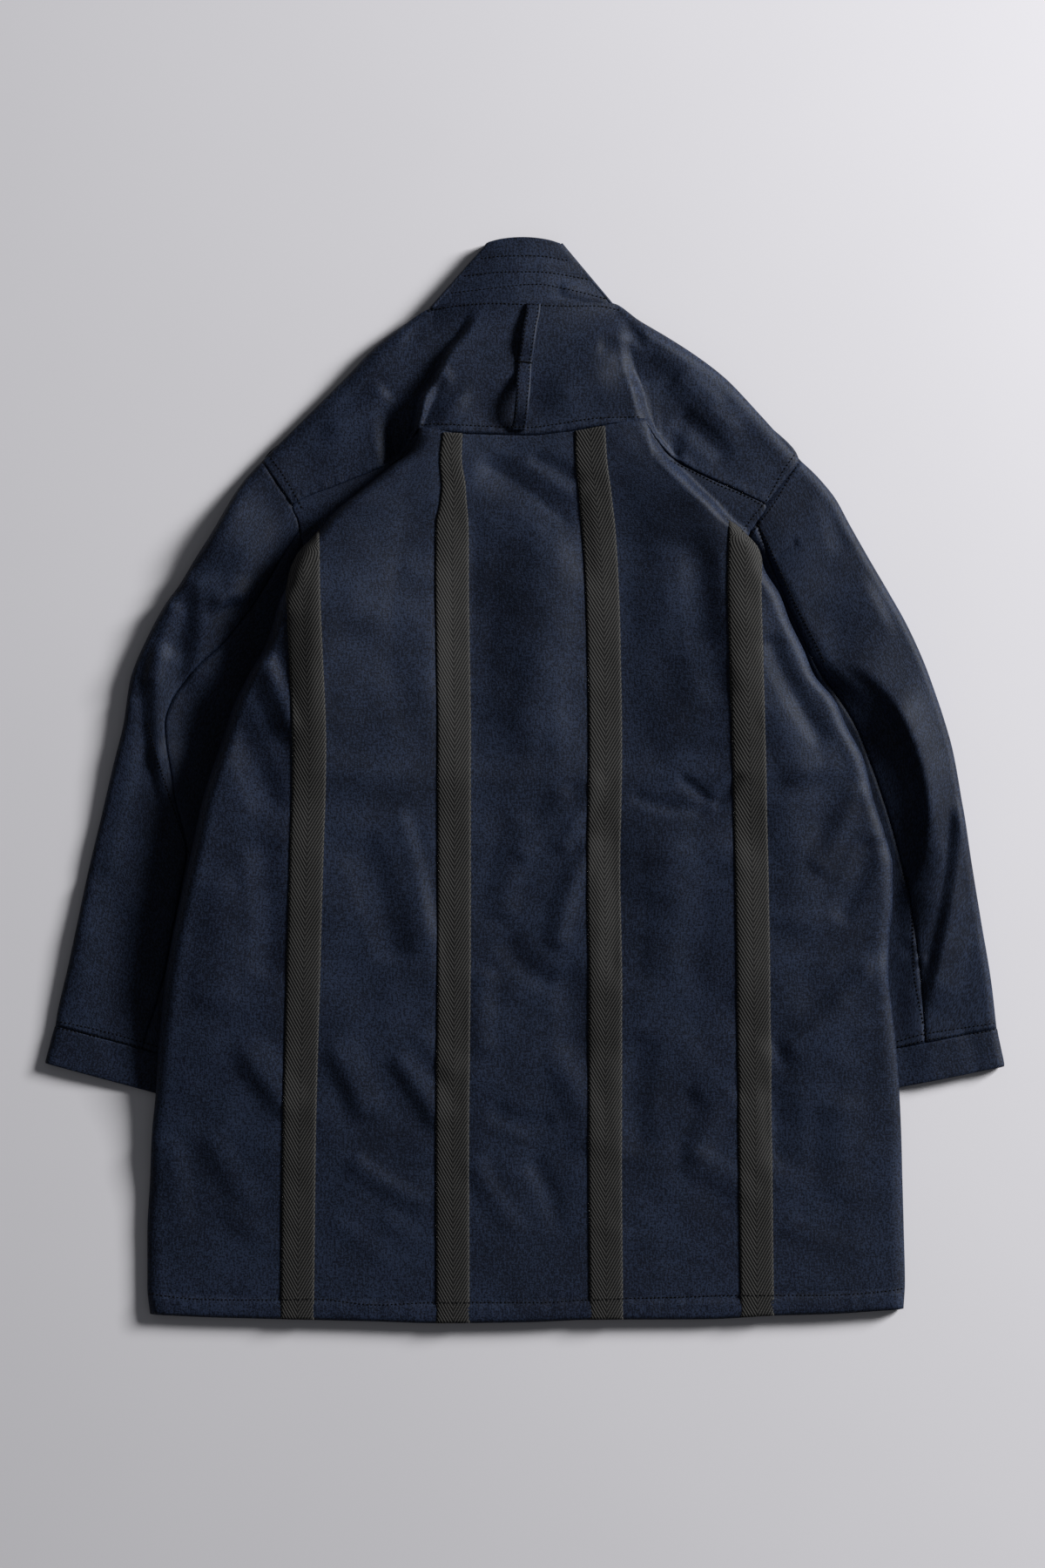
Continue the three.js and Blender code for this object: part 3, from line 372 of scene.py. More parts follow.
back_rows = np.concatenate([np.linspace(-463, 200, 222), np.linspace(200, 302, 48)[1:]])
low = -LEFT_FOLD(back_rows) + round_at(LEFT_FOLD(back_rows))
high = RIGHT_FOLD(back_rows) - round_at(RIGHT_FOLD(back_rows))
across = np.linspace(0, 1, OPEN)
open_x = low[:, None] + (high - low)[:, None] * across[None, :]
open_y = np.repeat(back_rows[:, None], OPEN, axis=1)
open_z = back_height(open_x, open_y)
open_points = np.stack([open_x, open_y, open_z], axis=2)
left_turn = np.stack([side_turn(-1, y, z)[::-1] for y, z in zip(back_rows, open_z[:, 0])])
right_turn = np.stack([side_turn(1, y, z) for y, z in zip(back_rows, open_z[:, -1])])
back_points = np.concatenate([left_turn, open_points, right_turn], axis=1)
back_points[:, :, 1] = shift_ends(back_points[:, :, 0], back_points[:, :, 1])
# the hem is turned up twice: a slightly thicker strip that draws in along its stitch row
above_hem = back_points[:, :, 1] - HEM_LINE(back_points[:, :, 0])
turned = ease((HEM_DEEP + 2 - above_hem) / 3) * HEM_THICKER
pucker = soft_noise(back_points[:, :, 0], above_hem * 0.45, 6.5, 2.2)
pucker = pucker * 0.5 * np.exp(-((above_hem - 12) / 12) ** 2)
draw_in = np.exp(-((above_hem - HEM_DEEP) / 2.2) ** 2) * HEM_DRAWN_IN
is_open = back_points[:, :, 2] > 8.0
back_points[:, :, 2] += np.where(is_open, turned - draw_in + pucker, 0)
back_points[0, :, 2] -= np.where(is_open[0], HEM_THICKER, 0)
# the allowance of the yoke seam runs on under the yoke
under_yoke = [back_points[-1] + [0, 2.0, -1.3], back_points[-1] + [0, 5.0, -1.9]]
back_points = np.concatenate([back_points, np.stack(under_yoke)])
# at both sides the allowance runs on under what is sewn to it
beside = ease((back_points[:, :1, 1] - 240) / 4) * ease((300 - back_points[:, :1, 1]) / 6)
tuck = np.stack([beside * 3.2, beside * 4.2, -1.4 - 0.2 * beside], axis=2)
first = back_points[:, :1] + tuck * [-1, 1, 1]
last = back_points[:, -1:] + tuck
high_enough = ease((back_points[:, :1, 2:] - 9) / 2)
back_points = np.concatenate([mix(back_points[:, :1] - [0, 0, 0.01], first, high_enough), back_points,
                              mix(back_points[:, -1:] - [0, 0, 0.01], last, high_enough)], axis=1)
back_panel = cloth("back", back_points, wall=CLOTH, lift=HALF)

# the denim's two tones, and how far its threads stand out, in metres
NAVY_DEEP = (0.0008, 0.0024, 0.0086)
NAVY_WORN = (0.0128, 0.0214, 0.0470)
THREAD_HEIGHT = 0.0004


def socket_value(node, **values):
    for key, value in values.items():
        node.inputs[key.replace("_", " ")].default_value = value
    return node


def new_group(name, outputs):
    group = bpy.data.node_groups.new(name, "ShaderNodeTree")
    for label, kind in outputs:
        group.interface.new_socket(name=label, in_out="OUTPUT", socket_type=kind)
    return group


def add_node(tree, kind, **settings):
    node = tree.nodes.new(kind)
    for key, value in settings.items():
        setattr(node, key, value)
    return node


def calculate(tree, operation, a, b):
    node = add_node(tree, "ShaderNodeMath", operation=operation)
    for i, value in enumerate((a, b)):
        if isinstance(value, (int, float)):
            node.inputs[i].default_value = value
        else:
            tree.links.new(value, node.inputs[i])
    return node.outputs[0]


def stretched(tree, source, scale):
    node = add_node(tree, "ShaderNodeMapping")
    tree.links.new(source, node.inputs["Vector"])
    node.inputs["Scale"].default_value = scale
    return node.outputs["Vector"]


def noise_of(tree, vector, scale, detail=2.0, rough=0.6):
    node = socket_value(add_node(tree, "ShaderNodeTexNoise"), Scale=scale, Detail=detail,
                        Roughness=rough)
    tree.links.new(vector, node.inputs["Vector"])
    return node.outputs["Fac"]


def ramp(tree, source, low, high, out_low=0.0, out_high=1.0):
    node = add_node(tree, "ShaderNodeMapRange", interpolation_type="SMOOTHSTEP")
    tree.links.new(source, node.inputs["Value"])
    socket_value(node, From_Min=low, From_Max=high, To_Min=out_low, To_Max=out_high)
    return node.outputs["Result"]


def two_tones(tree, share, low, high):
    """A colour between two others, by a share from 0 to 1."""
    tint = add_node(tree, "ShaderNodeMix", data_type="RGBA", blend_type="MIX")
    tint.inputs["A"].default_value = (*low, 1)
    tint.inputs["B"].default_value = (*high, 1)
    tree.links.new(share, tint.inputs["Factor"])
    return tint.outputs["Result"]


def dull_material(name, roughness, gloss):
    """A new material without a colour yet, its tree and its shader."""
    material = bpy.data.materials.new(name)
    material.use_nodes = True
    shader = material.node_tree.nodes["Principled BSDF"]
    shader.inputs["Roughness"].default_value = roughness
    shader.inputs["Specular IOR Level"].default_value = gloss
    return material, material.node_tree, shader


def woven_material(name, weave_group, roughness, gloss, relief):
    """A cloth whose weave both colours it and stands out of it a little."""
    material, tree, shader = dull_material(name, roughness, gloss)
    weave = add_node(tree, "ShaderNodeGroup", node_tree=weave_group)
    bump = socket_value(add_node(tree, "ShaderNodeBump"), Strength=relief, Distance=THREAD_HEIGHT)
    tree.links.new(weave.outputs["Color"], shader.inputs["Base Color"])
    tree.links.new(weave.outputs["Height"], bump.inputs["Height"])
    tree.links.new(bump.outputs["Normal"], shader.inputs["Normal"])
    return material, shader


def denim_group():
    """Dark navy denim: specks of worn yarn, slubs that run down the warp, and paler clouds."""
    group = new_group("denim", [("Color", "NodeSocketColor"), ("Height", "NodeSocketFloat")])
    out = add_node(group, "NodeGroupOutput")
    uv = add_node(group, "ShaderNodeUVMap", uv_map="UVMap").outputs["UV"]
    speck = noise_of(group, uv, 560, 3.0, 0.72)
    slub = noise_of(group, stretched(group, uv, (640, 150, 1)), 1.0, 2.0, 0.62)
    weft = noise_of(group, stretched(group, uv, (90, 820, 1)), 1.0, 1.0, 0.5)
    cloud = noise_of(group, uv, 9, 3.0, 0.55)
    mark = calculate(group, "ADD", calculate(group, "MULTIPLY", ramp(group, speck, 0.38, 0.62), 0.58),
                     calculate(group, "MULTIPLY", ramp(group, slub, 0.38, 0.62), 0.34))
    mark = calculate(group, "ADD", mark, calculate(group, "MULTIPLY", ramp(group, weft, 0.4, 0.7), 0.1))
    patch = noise_of(group, uv, 27, 2.0, 0.5)
    cloudy = calculate(group, "MULTIPLY", ramp(group, cloud, 0.3, 0.7, 0.88, 1.1),
                       ramp(group, patch, 0.3, 0.7, 0.9, 1.1))
    shade = calculate(group, "ADD", calculate(group, "MULTIPLY", mark, 1.15), 0.34)
    shade = calculate(group, "MULTIPLY", shade, cloudy)
    tone = two_tones(group, ramp(group, shade, 0.55, 1.35), NAVY_DEEP, NAVY_WORN)
    group.links.new(tone, out.inputs["Color"])
    group.links.new(mark, out.inputs["Height"])
    return group


denim, shader = woven_material("denim", denim_group(), 0.62, 0.2, 0.28)
shader.inputs["Specular Tint"].default_value = (0.94, 0.97, 1.0, 1)


def sew_in(obj, node, material=denim):
    """Gives a piece its cloth and its body, and hides the solid it stands for."""
    obj.data.materials.append(material)
    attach(obj, "root")
    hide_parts(node)


sew_in(back_panel, "back_panel")

# ---------------------------------------------------------------- tapes
# Four black tapes woven in herringbone, 29 mm wide, sewn flat to the back along both
# edges. The outer two run up until the side fold turns them under; the inner two go into the
# yoke seam.
TAPE_HALF = 14.5
TAPE_WALL = 1.0
TAPES = columns("y", ["y", "tape_1", "tape_2", "half_2", "tape_3", "half_3", "tape_4"], [
    [302, -190, -62, 8.5, 56.0, 13.2, 189.4], [276, -190, -63.4, 9.5, 57.2, 13.6, 189.4],
    [253, -190, -61, 10.5, 60, 14, 189.4], [236, -190, -61.4, 12, 61.6, 14.3, 189.4],
    [223, -190, -62.3, 14, 63, 14.5, 189.4], [172, -189.4, -62.6, 14.5, 66.3, 14.5, 188.5],
    [122, -187.5, -62, 14.5, 68, 14.5, 189.5], [32, -184.5, -60.8, 14.5, 69.4, 14.5, 192.5],
    [-73, -187.5, -60.8, 14.5, 68, 14.5, 195.2], [-172, -190.5, -61, 14.5, 69.6, 14.5, 197],
    [-309, -194.6, -62.3, 14.5, 69.4, 14.5, 199], [-463, -196.5, -62, 14.5, 70.6, 14.5, 200.9]])
TAPE_COLUMNS = 13
TAPE_TOPS = {"tape_1": 234, "tape_2": 302, "tape_3": 302, "tape_4": 232}


def back_surface(x, y):
    """Height of the back's middle at a place in plan, side folds' round included."""
    left = x < 0
    side_fold = np.where(left, LEFT_FOLD(y), RIGHT_FOLD(y))
    bend = round_at(side_fold)
    inner = side_fold - bend
    z = back_height(np.where(left, -1, 1) * np.minimum(np.abs(x), inner), y)
    past = np.clip((np.abs(x) - inner) / bend, 0, 0.985)
    waist = mix(SEAMS["height"](y), z, 0.45)
    return np.where(np.abs(x) > inner, waist + (z - waist) * np.sqrt(1 - past ** 2), z)


def tape_points(name):
    """Points of the panel under a tape, from the hem to where it is turned under or sewn in."""
    centre = TAPES[name]
    half = {"tape_2": TAPES["half_2"], "tape_3": TAPES["half_3"]}.get(name, lambda y: TAPE_HALF)
    rows = back_rows[back_rows <= TAPE_TOPS[name] + 0.01]
    steps = np.linspace(-1, 1, TAPE_COLUMNS)
    x = np.stack([centre(y) + half(y) * steps for y in rows])
    y = np.repeat(rows[:, None], TAPE_COLUMNS, axis=1)
    z = back_surface(x, y)
    # past the side fold the tape turns under with the cloth
    limit = np.where(x < 0, LEFT_FOLD(y), RIGHT_FOLD(y)) - 0.4
    past = np.maximum(np.abs(x) - limit, 0)
    z = np.maximum(z - past * 1.0, SEAMS["height"](y) + 4)
    x = np.sign(x) * (np.abs(x) - past)
    return np.stack([x, y, z], axis=2)


# width of a rib and spacing of the picks along the tape, in metres, and the two tones
RIB = 0.0026
PICK = 0.0011
TAPE_DARK = (0.0025, 0.0025, 0.0027)
TAPE_PALE = (0.0400, 0.0395, 0.0385)


def herringbone_group():
    """Twill ribs that run down to the tape's middle from both edges."""
    group = new_group("herringbone", [("Color", "NodeSocketColor"), ("Height", "NodeSocketFloat")])
    out = add_node(group, "NodeGroupOutput")
    uv = add_node(group, "ShaderNodeUVMap", uv_map="UVMap").outputs["UV"]
    parts = add_node(group, "ShaderNodeSeparateXYZ")
    group.links.new(uv, parts.inputs["Vector"])
    u, v = parts.outputs["X"], parts.outputs["Y"]
    from_middle = calculate(group, "ABSOLUTE", u, 0.0)
    wander = calculate(group, "SUBTRACT", noise_of(group, uv, 160, 1.0), 0.5)
    wander = calculate(group, "MULTIPLY", wander, 0.0006)
    slope = calculate(group, "SUBTRACT", from_middle, calculate(group, "MULTIPLY", v, 0.55))
    slope = calculate(group, "ADD", slope, wander)
    rib = calculate(group, "SINE", calculate(group, "MULTIPLY", slope, 2 * math.pi / RIB), 0.0)
    pick = calculate(group, "SINE", calculate(group, "MULTIPLY", v, 2 * math.pi / PICK), 0.0)
    speck = noise_of(group, uv, 900, 2.0, 0.6)
    shade = calculate(group, "ADD", calculate(group, "MULTIPLY", rib, 0.62),
                      calculate(group, "MULTIPLY", speck, 0.6))
    shade = calculate(group, "ADD", shade, calculate(group, "MULTIPLY", pick, 0.05))
    middle = ramp(group, from_middle, 0.0004, 0.0012, 0.72, 1.0)
    shade = calculate(group, "MULTIPLY", shade, middle)
    tone = two_tones(group, ramp(group, shade, 0.05, 0.95), TAPE_DARK, TAPE_PALE)
    group.links.new(tone, out.inputs["Color"])
    height = calculate(group, "ADD", rib, calculate(group, "MULTIPLY", pick, 0.4))
    group.links.new(height, out.inputs["Height"])
    return group


herringbone, shader = woven_material("herringbone_tape", herringbone_group(), 0.8, 0.25, 0.5)
shader.inputs["Sheen Weight"].default_value = 0.02


tape_grids = {}
tapes = {}
for name in TAPE_TOPS:
    grid = tape_points(name)
    flat_normals = outward(grid)
    grid[:, :, 1] = shift_ends(grid[:, :, 0], grid[:, :, 1])
    edge = np.abs(np.linspace(-1, 1, TAPE_COLUMNS))
    # the edges are pulled down by their stitches, the middle stands a little proud
    puff = 1.0 - 0.55 * edge ** 6
    wave = soft_noise(grid[:, :, 0], grid[:, :, 1], 7, 1.7) * 0.14
    lift = HALF + SEAM_GAP + TAPE_WALL * puff[None, :] + wave
    grid = grid + flat_normals * lift[:, :, None]
    tape_grids[name] = grid
    uv = np.stack([arc(grid, 1, TAPE_COLUMNS // 2), arc(grid, 0)], axis=2)
    tapes[name] = cloth(name + "_cloth", grid, uv=uv, wall=TAPE_WALL)
    sew_in(tapes[name], name, herringbone)

# ---------------------------------------------------------------- yoke
# The shoulder piece of the back, one layer of denim folded over the shoulder line and round the
# neck, and sewn to the panel below it and to the sleeves. It lies open in the middle and
# drops beyond the side folds to both armholes.
YOKE_UPPER = [
    [-226.9, 276.8], [-204, 300], [-181.9, 321.8], [-151.9, 351.8], [-129.4, 375.5],
    [-105, 394.1], [-79.1, 409.5], [-60, 412.5], [-41, 413.5], [-20, 414], [0, 414], [20, 414],
    [40, 414], [57, 413.5], [74.6, 413.3], [100, 397.5], [124.1, 383.3], [150, 366.5],
    [172.1, 349.5], [205, 315], [238.1, 277.5]]
YOKE_LOWER = [
    [-201, 240, 12.5], [-184, 248, 12.6], [-160, 257, 12.8], [-135, 267, 13], [-110, 278.5, 14],
    [-104.5, 284.5, 17], [-100, 291, 20.6], [-95.6, 298, 24], [-90.4, 303, 27], [-60, 0, 0],
    [-30, 0, 0], [0, 0, 0], [30, 0, 0], [65, 0, 0], [100, 309, 28], [113.5, 296, 22.6],
    [120.5, 288, 18.6], [130, 279, 14], [148, 268, 13], [180, 253.5, 12.7], [208, 240, 12.5]]
NECK_SPAN = (6, 14)
YOKE_EDGE = columns("y", ["y", "left", "right", "step"], [
    [414, 38, 74, 0], [403.5, 40.9, 77, 0.1], [388.5, 46.9, 80, 0.25], [372, 61.1, 82, 0.5],
    [358.5, 68.6, 84.6, 0.8], [343.5, 76.9, 90, 1], [330, 85.9, 94, 1], [321, 87.4, 96, 1],
    [302, 90.4, 104, 1], [289.5, 94.5, 113, 1], [277, 108, 124, 1], [240, 155, 161, 1]])
DROP_WIDE = 12.0
YOKE_FOLDS = [
    # the small hooked fold low on the left, and the hollow inside it
    (-66, 360, -68, 348, -61, 338, 2.0, 6, 9, 2),
    (-59, 333, -61, 324, -82, 307, 2.2, 9, 11, 2.5),
    (-45, 350, -43, 330, -48, 308, -1.0, 14, 14, 6),
    # the long slanting ridge, and the short one that crosses its end on the right
    (9, 318, 48, 343, 90, 357, 4.2, 30, 26, 4),
    (92, 357, 99, 332, 108, 304, 5.6, 20, 34, 3),
    (61, 375, 76, 371, 90, 361, -1.6, 8, 8, 4),
]
SHOULDER_FOLDS = [
    (-118, 340, -140, 322, -178, 296, 2.6, 14, 12, 2.5),
    (-130, 372, -168, 338, -206, 300, -1.6, 10, 12, 2.5),
    (128, 352, 150, 330, 190, 296, 2.4, 14, 12, 2.5),
    (130, 320, 152, 300, 178, 276, -2.2, 10, 10, 2.5),
    (110, 372, 140, 352, 172, 322, 1.6, 9, 10, 2.5),
]


def neck_height(x):
    return 12 + 10 * np.clip(1 - (x / 79) ** 2, 0, 1)


def yoke_height(x, y):
    left = x < 0
    edge = np.where(left, YOKE_EDGE["left"](y), YOKE_EDGE["right"](y))
    step = np.where(left, 1.0, YOKE_EDGE["step"](y))
    past = (np.abs(x) - edge) / DROP_WIDE
    drop = ease(past + 0.12) * step
    side = np.where(left, CROWN["left"](y), CROWN["right"](y))
    top = mix(CROWN["middle"](y), side, ease(np.abs(x) / 100))
    top = top + fold_heights(YOKE_FOLDS, x, y) + soft_noise(x, y, 40, 4.4) * 0.8
    shoulder = 12.5 + np.where(left, 3.5, 7) * ease((y - 250) / 140) + fold_heights(SHOULDER_FOLDS, x, y)
    shoulder = shoulder + soft_noise(x, y, 34, 6.1) * 1.0
    return mix(top, shoulder, drop)


def yoke_points(count, deep):
    upper = np.array(YOKE_UPPER)
    lower = []
    for x, y, z in YOKE_LOWER:
        y = y or float(YOKE_SEAM(x)) + SEAM_GAP / 2
        lower.append([x, y, z or float(back_height(np.array([x]), np.array([float(YOKE_SEAM(x))]))[0])])
    lower = np.array(lower)
    index = np.linspace(0, len(upper) - 1, count)
    keys = np.arange(len(upper))
    up = np.stack([curve(keys, upper[:, k])(index) for k in range(2)], axis=1)
    down = np.stack([curve(keys, lower[:, k])(index) for k in range(3)], axis=1)
    run = np.linspace(0, 1, deep)
    length = np.linalg.norm(up - down[:, :2], axis=1)
    share = run[None, :] ** 1.35
    x = mix(up[:, 0:1], down[:, 0:1], share)
    y = mix(up[:, 1:2], down[:, 1:2], share)
    away = share * length[:, None]
    neck = (ease((index - NECK_SPAN[0] + 1.2) / 1.2) * ease((NECK_SPAN[1] + 1.2 - index) / 1.2))[:, None]
    field = yoke_height(x, y)
    edge = mix(7.6, neck_height(x), neck)
    rise = mix(np.sqrt(1 - (1 - np.clip(away / 14, 0, 1)) ** 2), ease(away / 34), neck)
    z = mix(edge, field, rise)
    settle = (down[:, 2] - yoke_height(down[:, 0], down[:, 1]))[:, None]
    z = z + settle * ease((share - 0.4) / 0.6)
    # the seam allowance lies under the last few millimetres
    to_seam = length[:, None] - away
    z = z + 0.7 * ease(1 - to_seam / 11) * ease(to_seam / 1.6 + 0.3)
    # the seam draws the cloth into small puckers
    z = z + soft_noise(x, y * 0.3, 4.4, 3.3) * 0.8 * np.exp(-((to_seam - 4) / 3.5) ** 2)
    points = np.stack([x, y, z], axis=2)
    return np.transpose(points, (1, 0, 2))[::-1]


yoke_grid = yoke_points(241, 56)
yoke_uv = np.stack([yoke_grid[:, :, 0] * MM, yoke_grid[:, :, 1] * MM], axis=2)
yoke = cloth("yoke", yoke_grid, uv=yoke_uv, wall=CLOTH, lift=HALF)
sew_in(yoke, "back_yoke")

# ---------------------------------------------------------------- sleeves
# Each sleeve is sewn of denim from an outer and an inner piece, and set into the armhole. It lies
# pulled down beside the body, partly under it, and narrows a little to the cuff.
OUTLINE = {
    "left": [[227.6, 276.2], [236, 267.5], [244, 258], [252, 246], [259, 234], [271, 213.5],
             [283.9, 193.5], [297.4, 171], [310.9, 152.3], [324, 128.3], [337.4, 98.6],
             [340.9, 87], [346.3, 51], [355, 15.8], [365.6, -29.3], [377.6, -79.5],
             [386.3, -120.8], [395.2, -162.4], [404.1, -201], [405.4, -210.2]],
    "right": [[238.8, 276.9], [249, 267.5], [258.4, 257.3], [268.1, 244.9], [280.1, 222.8],
              [296.6, 193.5], [313.9, 163.9], [328.9, 137.3], [343.9, 104.6], [353, 80],
              [361.7, 54.2], [369.1, 27.8], [377.6, -20], [385.1, -67.5], [394.1, -120.8],
              [403.1, -174], [407.6, -212.4]]}
CUFF_END = {"left": (414.4, -243, 248.4, -288.4), "right": (414.4, -245.7, 246, -280)}
INNER = {"left": (202.8, 66, 239.4, -255.6), "right": (206.6, 66, 239.2, -246.7)}
ARMHOLE = {
    "left": columns("w", ["w", "x", "y", "z"], [
        [0, 200.6, 69.8, 4.8], [0.2, 193.5, 110, 4.8], [0.38, 189, 148, 4.8],
        [0.54, 188.5, 182, 4.8], [0.63, 190.5, 197, 4.8], [0.71, 193.6, 211, 9.2],
        [0.8, 197.4, 231, 11.8], [0.84, 202.2, 240, 12.5], [1, 227.6, 276.2, 12.5]]),
    "right": columns("w", ["w", "x", "y", "z"], [
        [0, 204.4, 69.8, 4.8], [0.2, 193.5, 110, 4.8], [0.38, 187.5, 148, 4.8],
        [0.53, 187.5, 180, 4.8], [0.67, 192.4, 208, 4.8], [0.7, 195, 215, 9.6],
        [0.75, 201.6, 225, 11.6], [0.81, 209.2, 238, 12.5], [1, 238.8, 276.9, 12.5]])}
ARMHOLE_ENDS = {"left": ((200.6, 69.8), (227.6, 276.2)), "right": ((204.4, 69.8), (238.8, 276.9))}
BACK_SEAM = {
    "left": curve([0, 0.2, 0.4, 0.5, 0.6, 0.8, 1], [0.74, 0.7, 0.76, 0.66, 0.5, 0.5, 0.55]),
    "right": curve([0, 0.1, 0.25, 0.5, 0.75, 1], [0.74, 0.65, 0.56, 0.6, 0.66, 0.634])}
SLEEVE_CROWN = columns("y", ["y", "left", "right"], [
    [277, 13, 13], [238, 15, 14], [200, 16, 16], [150, 14, 16], [100, 12, 16], [50, 10.5, 16],
    [0, 9.2, 16], [-50, 8.4, 15.5], [-100, 8.2, 14], [-160, 8, 12], [-205, 7.6, 9.5], [-250, 7.4, 8.6]])
# Beside the body's side fold a sleeve lies low; the rise to its crown is this wide.
BESIDE = columns("y", ["y", "left", "rise_left", "right", "rise_right"], [
    [277, 4.8, 52, 11, 20], [200, 4.8, 52, 11, 18], [150, 4.8, 54, 12, 18], [110, 4.8, 58, 11, 22],
    [80, 4.8, 62, 6, 40], [60, 4.8, 66, 4.8, 48], [0, 4.8, 84, 4.8, 50], [-76, 4.8, 98, 4.8, 46],
    [-150, 4.8, 90, 4.8, 36], [-260, 4.8, 84, 4.8, 34]])
SLEEVE_FOLDS = {
    "left": [
        # the roll along the outer fold below the shoulder
        (225, 265, 255, 220, 282, 172, 4.5, 9, 46, 4),
        (285, 182, 279, 137, 290, 74, 3.4, 10, 18, 3),
        (300, 158, 314, 120, 327, 81, 2.6, 7, 10, 2),
        # the hooked fold, steep on its lower side
        (273, 144, 254, 160, 229, 152, 5.2, 6, 16, 2),
        (227, 254, 210, 231, 213, 194, -1.6, 10, 10, 4),
        # the elbow's bulge, which ends in a step along the back seam
        (308, 122, 318, 74, 311, 10, 4.6, 10, 20, 3),
        (317, 39, 308, -13, 284, -80, 8, 8, 27, 2),
        (338, 74, 342, 14, 363, -84, 1.2, 11, 9, 3),
        # down to the cuff
        (371, -80, 380, -144, 389, -208, 1.6, 9, 15, 5),
        (339, -106, 348, -159, 350, -212, -1.6, 12, 12, 5),
        (324, -84, 332, -152, 332, -226, 1.6, 10, 9, 4)],
    "right": [
        # a rise towards the outer fold below the shoulder
        (282, 186, 300, 153, 319, 116, 3, 8, 34, 2.5),
        (214, 195, 225, 202, 237, 208, -2.6, 4, 4, 1.5),
        (259, 254, 267, 226, 277, 194, -1.4, 9, 10, 4),
        # the sharp crest that stands over a long hollow
        (265, 106, 307, 84, 342, 22, 5.6, 52, 9, 2),
        (309, 81, 348, -20, 320, -123, 8.6, 30, 10, 2),
        # the second ridge, down to the cuff
        (376, -15, 370, -92, 348, -201, 5.4, 22, 8, 2),
        (321, -135, 329, -144, 338, -152, -2, 6, 6, 2),
        (336, -152, 342, -153, 349, -154, 1.4, 4, 4, 1.5),
        (376, -208, 387, -232, 391, -260, -1.8, 8, 8, 3),
        (333, -174, 331, -204, 337, -234, 1.5, 9, 9, 3)]}
SLEEVE_ROUND = 7.0
INNER_TURN = 2.1
FRONT_SEAM = 0.5
SLEEVE_TOP = 4.8
CUFF_LENGTH = 33.0


def share_curve(line):
    """Places along a line by the share of its length."""
    line = np.array(line, float)
    run = np.concatenate([[0], np.cumsum(np.hypot(*np.diff(line, axis=0).T))])
    run /= run[-1]
    return curve(run, line[:, 0]), curve(run, line[:, 1])


OUTER_LINE = {side: share_curve(line) for side, line in OUTLINE.items()}


def sleeve_ends(side, t):
    """Both ends in plan of the rows across a sleeve; t above 1 runs on over the cuff."""
    from_x, from_y, to_x, to_y = INNER[side]
    out_x, out_y, in_x, in_y = CUFF_END[side]
    line_x, line_y = OUTER_LINE[side]
    on, past = np.clip(t, 0, 1), np.clip(t - 1, 0, None)
    inner = (mix(from_x, to_x, on) + (in_x - to_x) * past, mix(from_y, to_y, on) + (in_y - to_y) * past)
    last = OUTLINE[side][-1]
    outer = (line_x(on) + (out_x - last[0]) * past, line_y(on) + (out_y - last[1]) * past)
    return inner, outer


def sleeve_place(side, t, w, folds=True):
    """A place on a sleeve's upper layer; w runs from the inner to the outer fold."""
    inner, outer = sleeve_ends(side, t)
    bend = 1 - ease(t / 0.38)
    (x0, y0), (x1, y1) = ARMHOLE_ENDS[side]
    hole = ARMHOLE[side]
    x = mix(inner[0], outer[0], w) + bend * (hole["x"](w) - mix(x0, x1, w))
    y = mix(inner[1], outer[1], w) + bend * (hole["y"](w) - mix(y0, y1, w))
    side_fold = (LEFT_FOLD if side == "left" else RIGHT_FOLD)(y)
    past_fold = x - side_fold + 1
    open_share = ease(past_fold / BESIDE["rise_" + side](y))
    low = mix(SLEEVE_TOP, BESIDE[side](y), ease(past_fold / 6))
    sign = -1 if side == "left" else 1
    lifted = 0.0
    if folds:
        lifted = fold_heights(SLEEVE_FOLDS[side], x, y) + soft_noise(sign * x, y, 30, 7.7) * 0.9
        lifted = lifted * (0.25 + 0.75 * ease((1.12 - t) / 0.3))
    z = mix(low, SLEEVE_CROWN[side](y) + lifted, open_share)
    z = mix(z, hole["z"](w), 1 - ease(t / 0.12))
    return np.stack([sign * x, y, np.maximum(z, SLEEVE_TOP)], axis=-1)


def ring_rows(side, rows, wall, counts):
    """Rings round a sleeve: back seam, outer fold, front seam, inner fold, back seam again."""
    floor = wall / 2
    n_outer, n_turn, n_under, n_inner_turn, n_inner = counts
    made = []
    for t in rows:
        inner, outer = sleeve_ends(side, np.array(t))
        length = float(np.hypot(outer[0] - inner[0], outer[1] - inner[1]))
        seam = float(BACK_SEAM[side](np.clip(t, 0, 1)))
        gap = SEAM_GAP / 2 / length
        edge_out = 1 - SLEEVE_ROUND / length
        edge_in = INNER_TURN / length

        def upper(w):
            w = np.atleast_1d(w)
            p = sleeve_place(side, np.full(w.shape, float(t)), w)
            p[:, 2] -= (wall - CLOTH) / 2
            return p

        def lower(w):
            p = sleeve_place(side, np.full(w.shape, float(t)), w, folds=False)
            p[:, 2] = floor
            return p

        def turned(pivot, reach, steps, start, end):
            a = np.linspace(start, end, steps + 2)[1:-1]
            p = upper(pivot + reach * np.cos(a) / length)
            top = upper(pivot)[0, 2]
            p[:, 2] = mix(floor, top, (1 + np.sin(a)) / 2)
            return p

        quarter = math.pi / 2
        made.append(np.concatenate([
            upper(np.linspace(seam + gap, edge_out, n_outer)),
            turned(edge_out, SLEEVE_ROUND, n_turn, quarter, -quarter),
            lower(np.linspace(edge_out, FRONT_SEAM + gap, n_under)),
            lower(np.linspace(FRONT_SEAM - gap, edge_in, n_under)),
            turned(edge_in, -INNER_TURN, n_inner_turn, -quarter, quarter),
            upper(np.linspace(edge_in, seam - gap, n_inner))]))
    return np.stack(made)


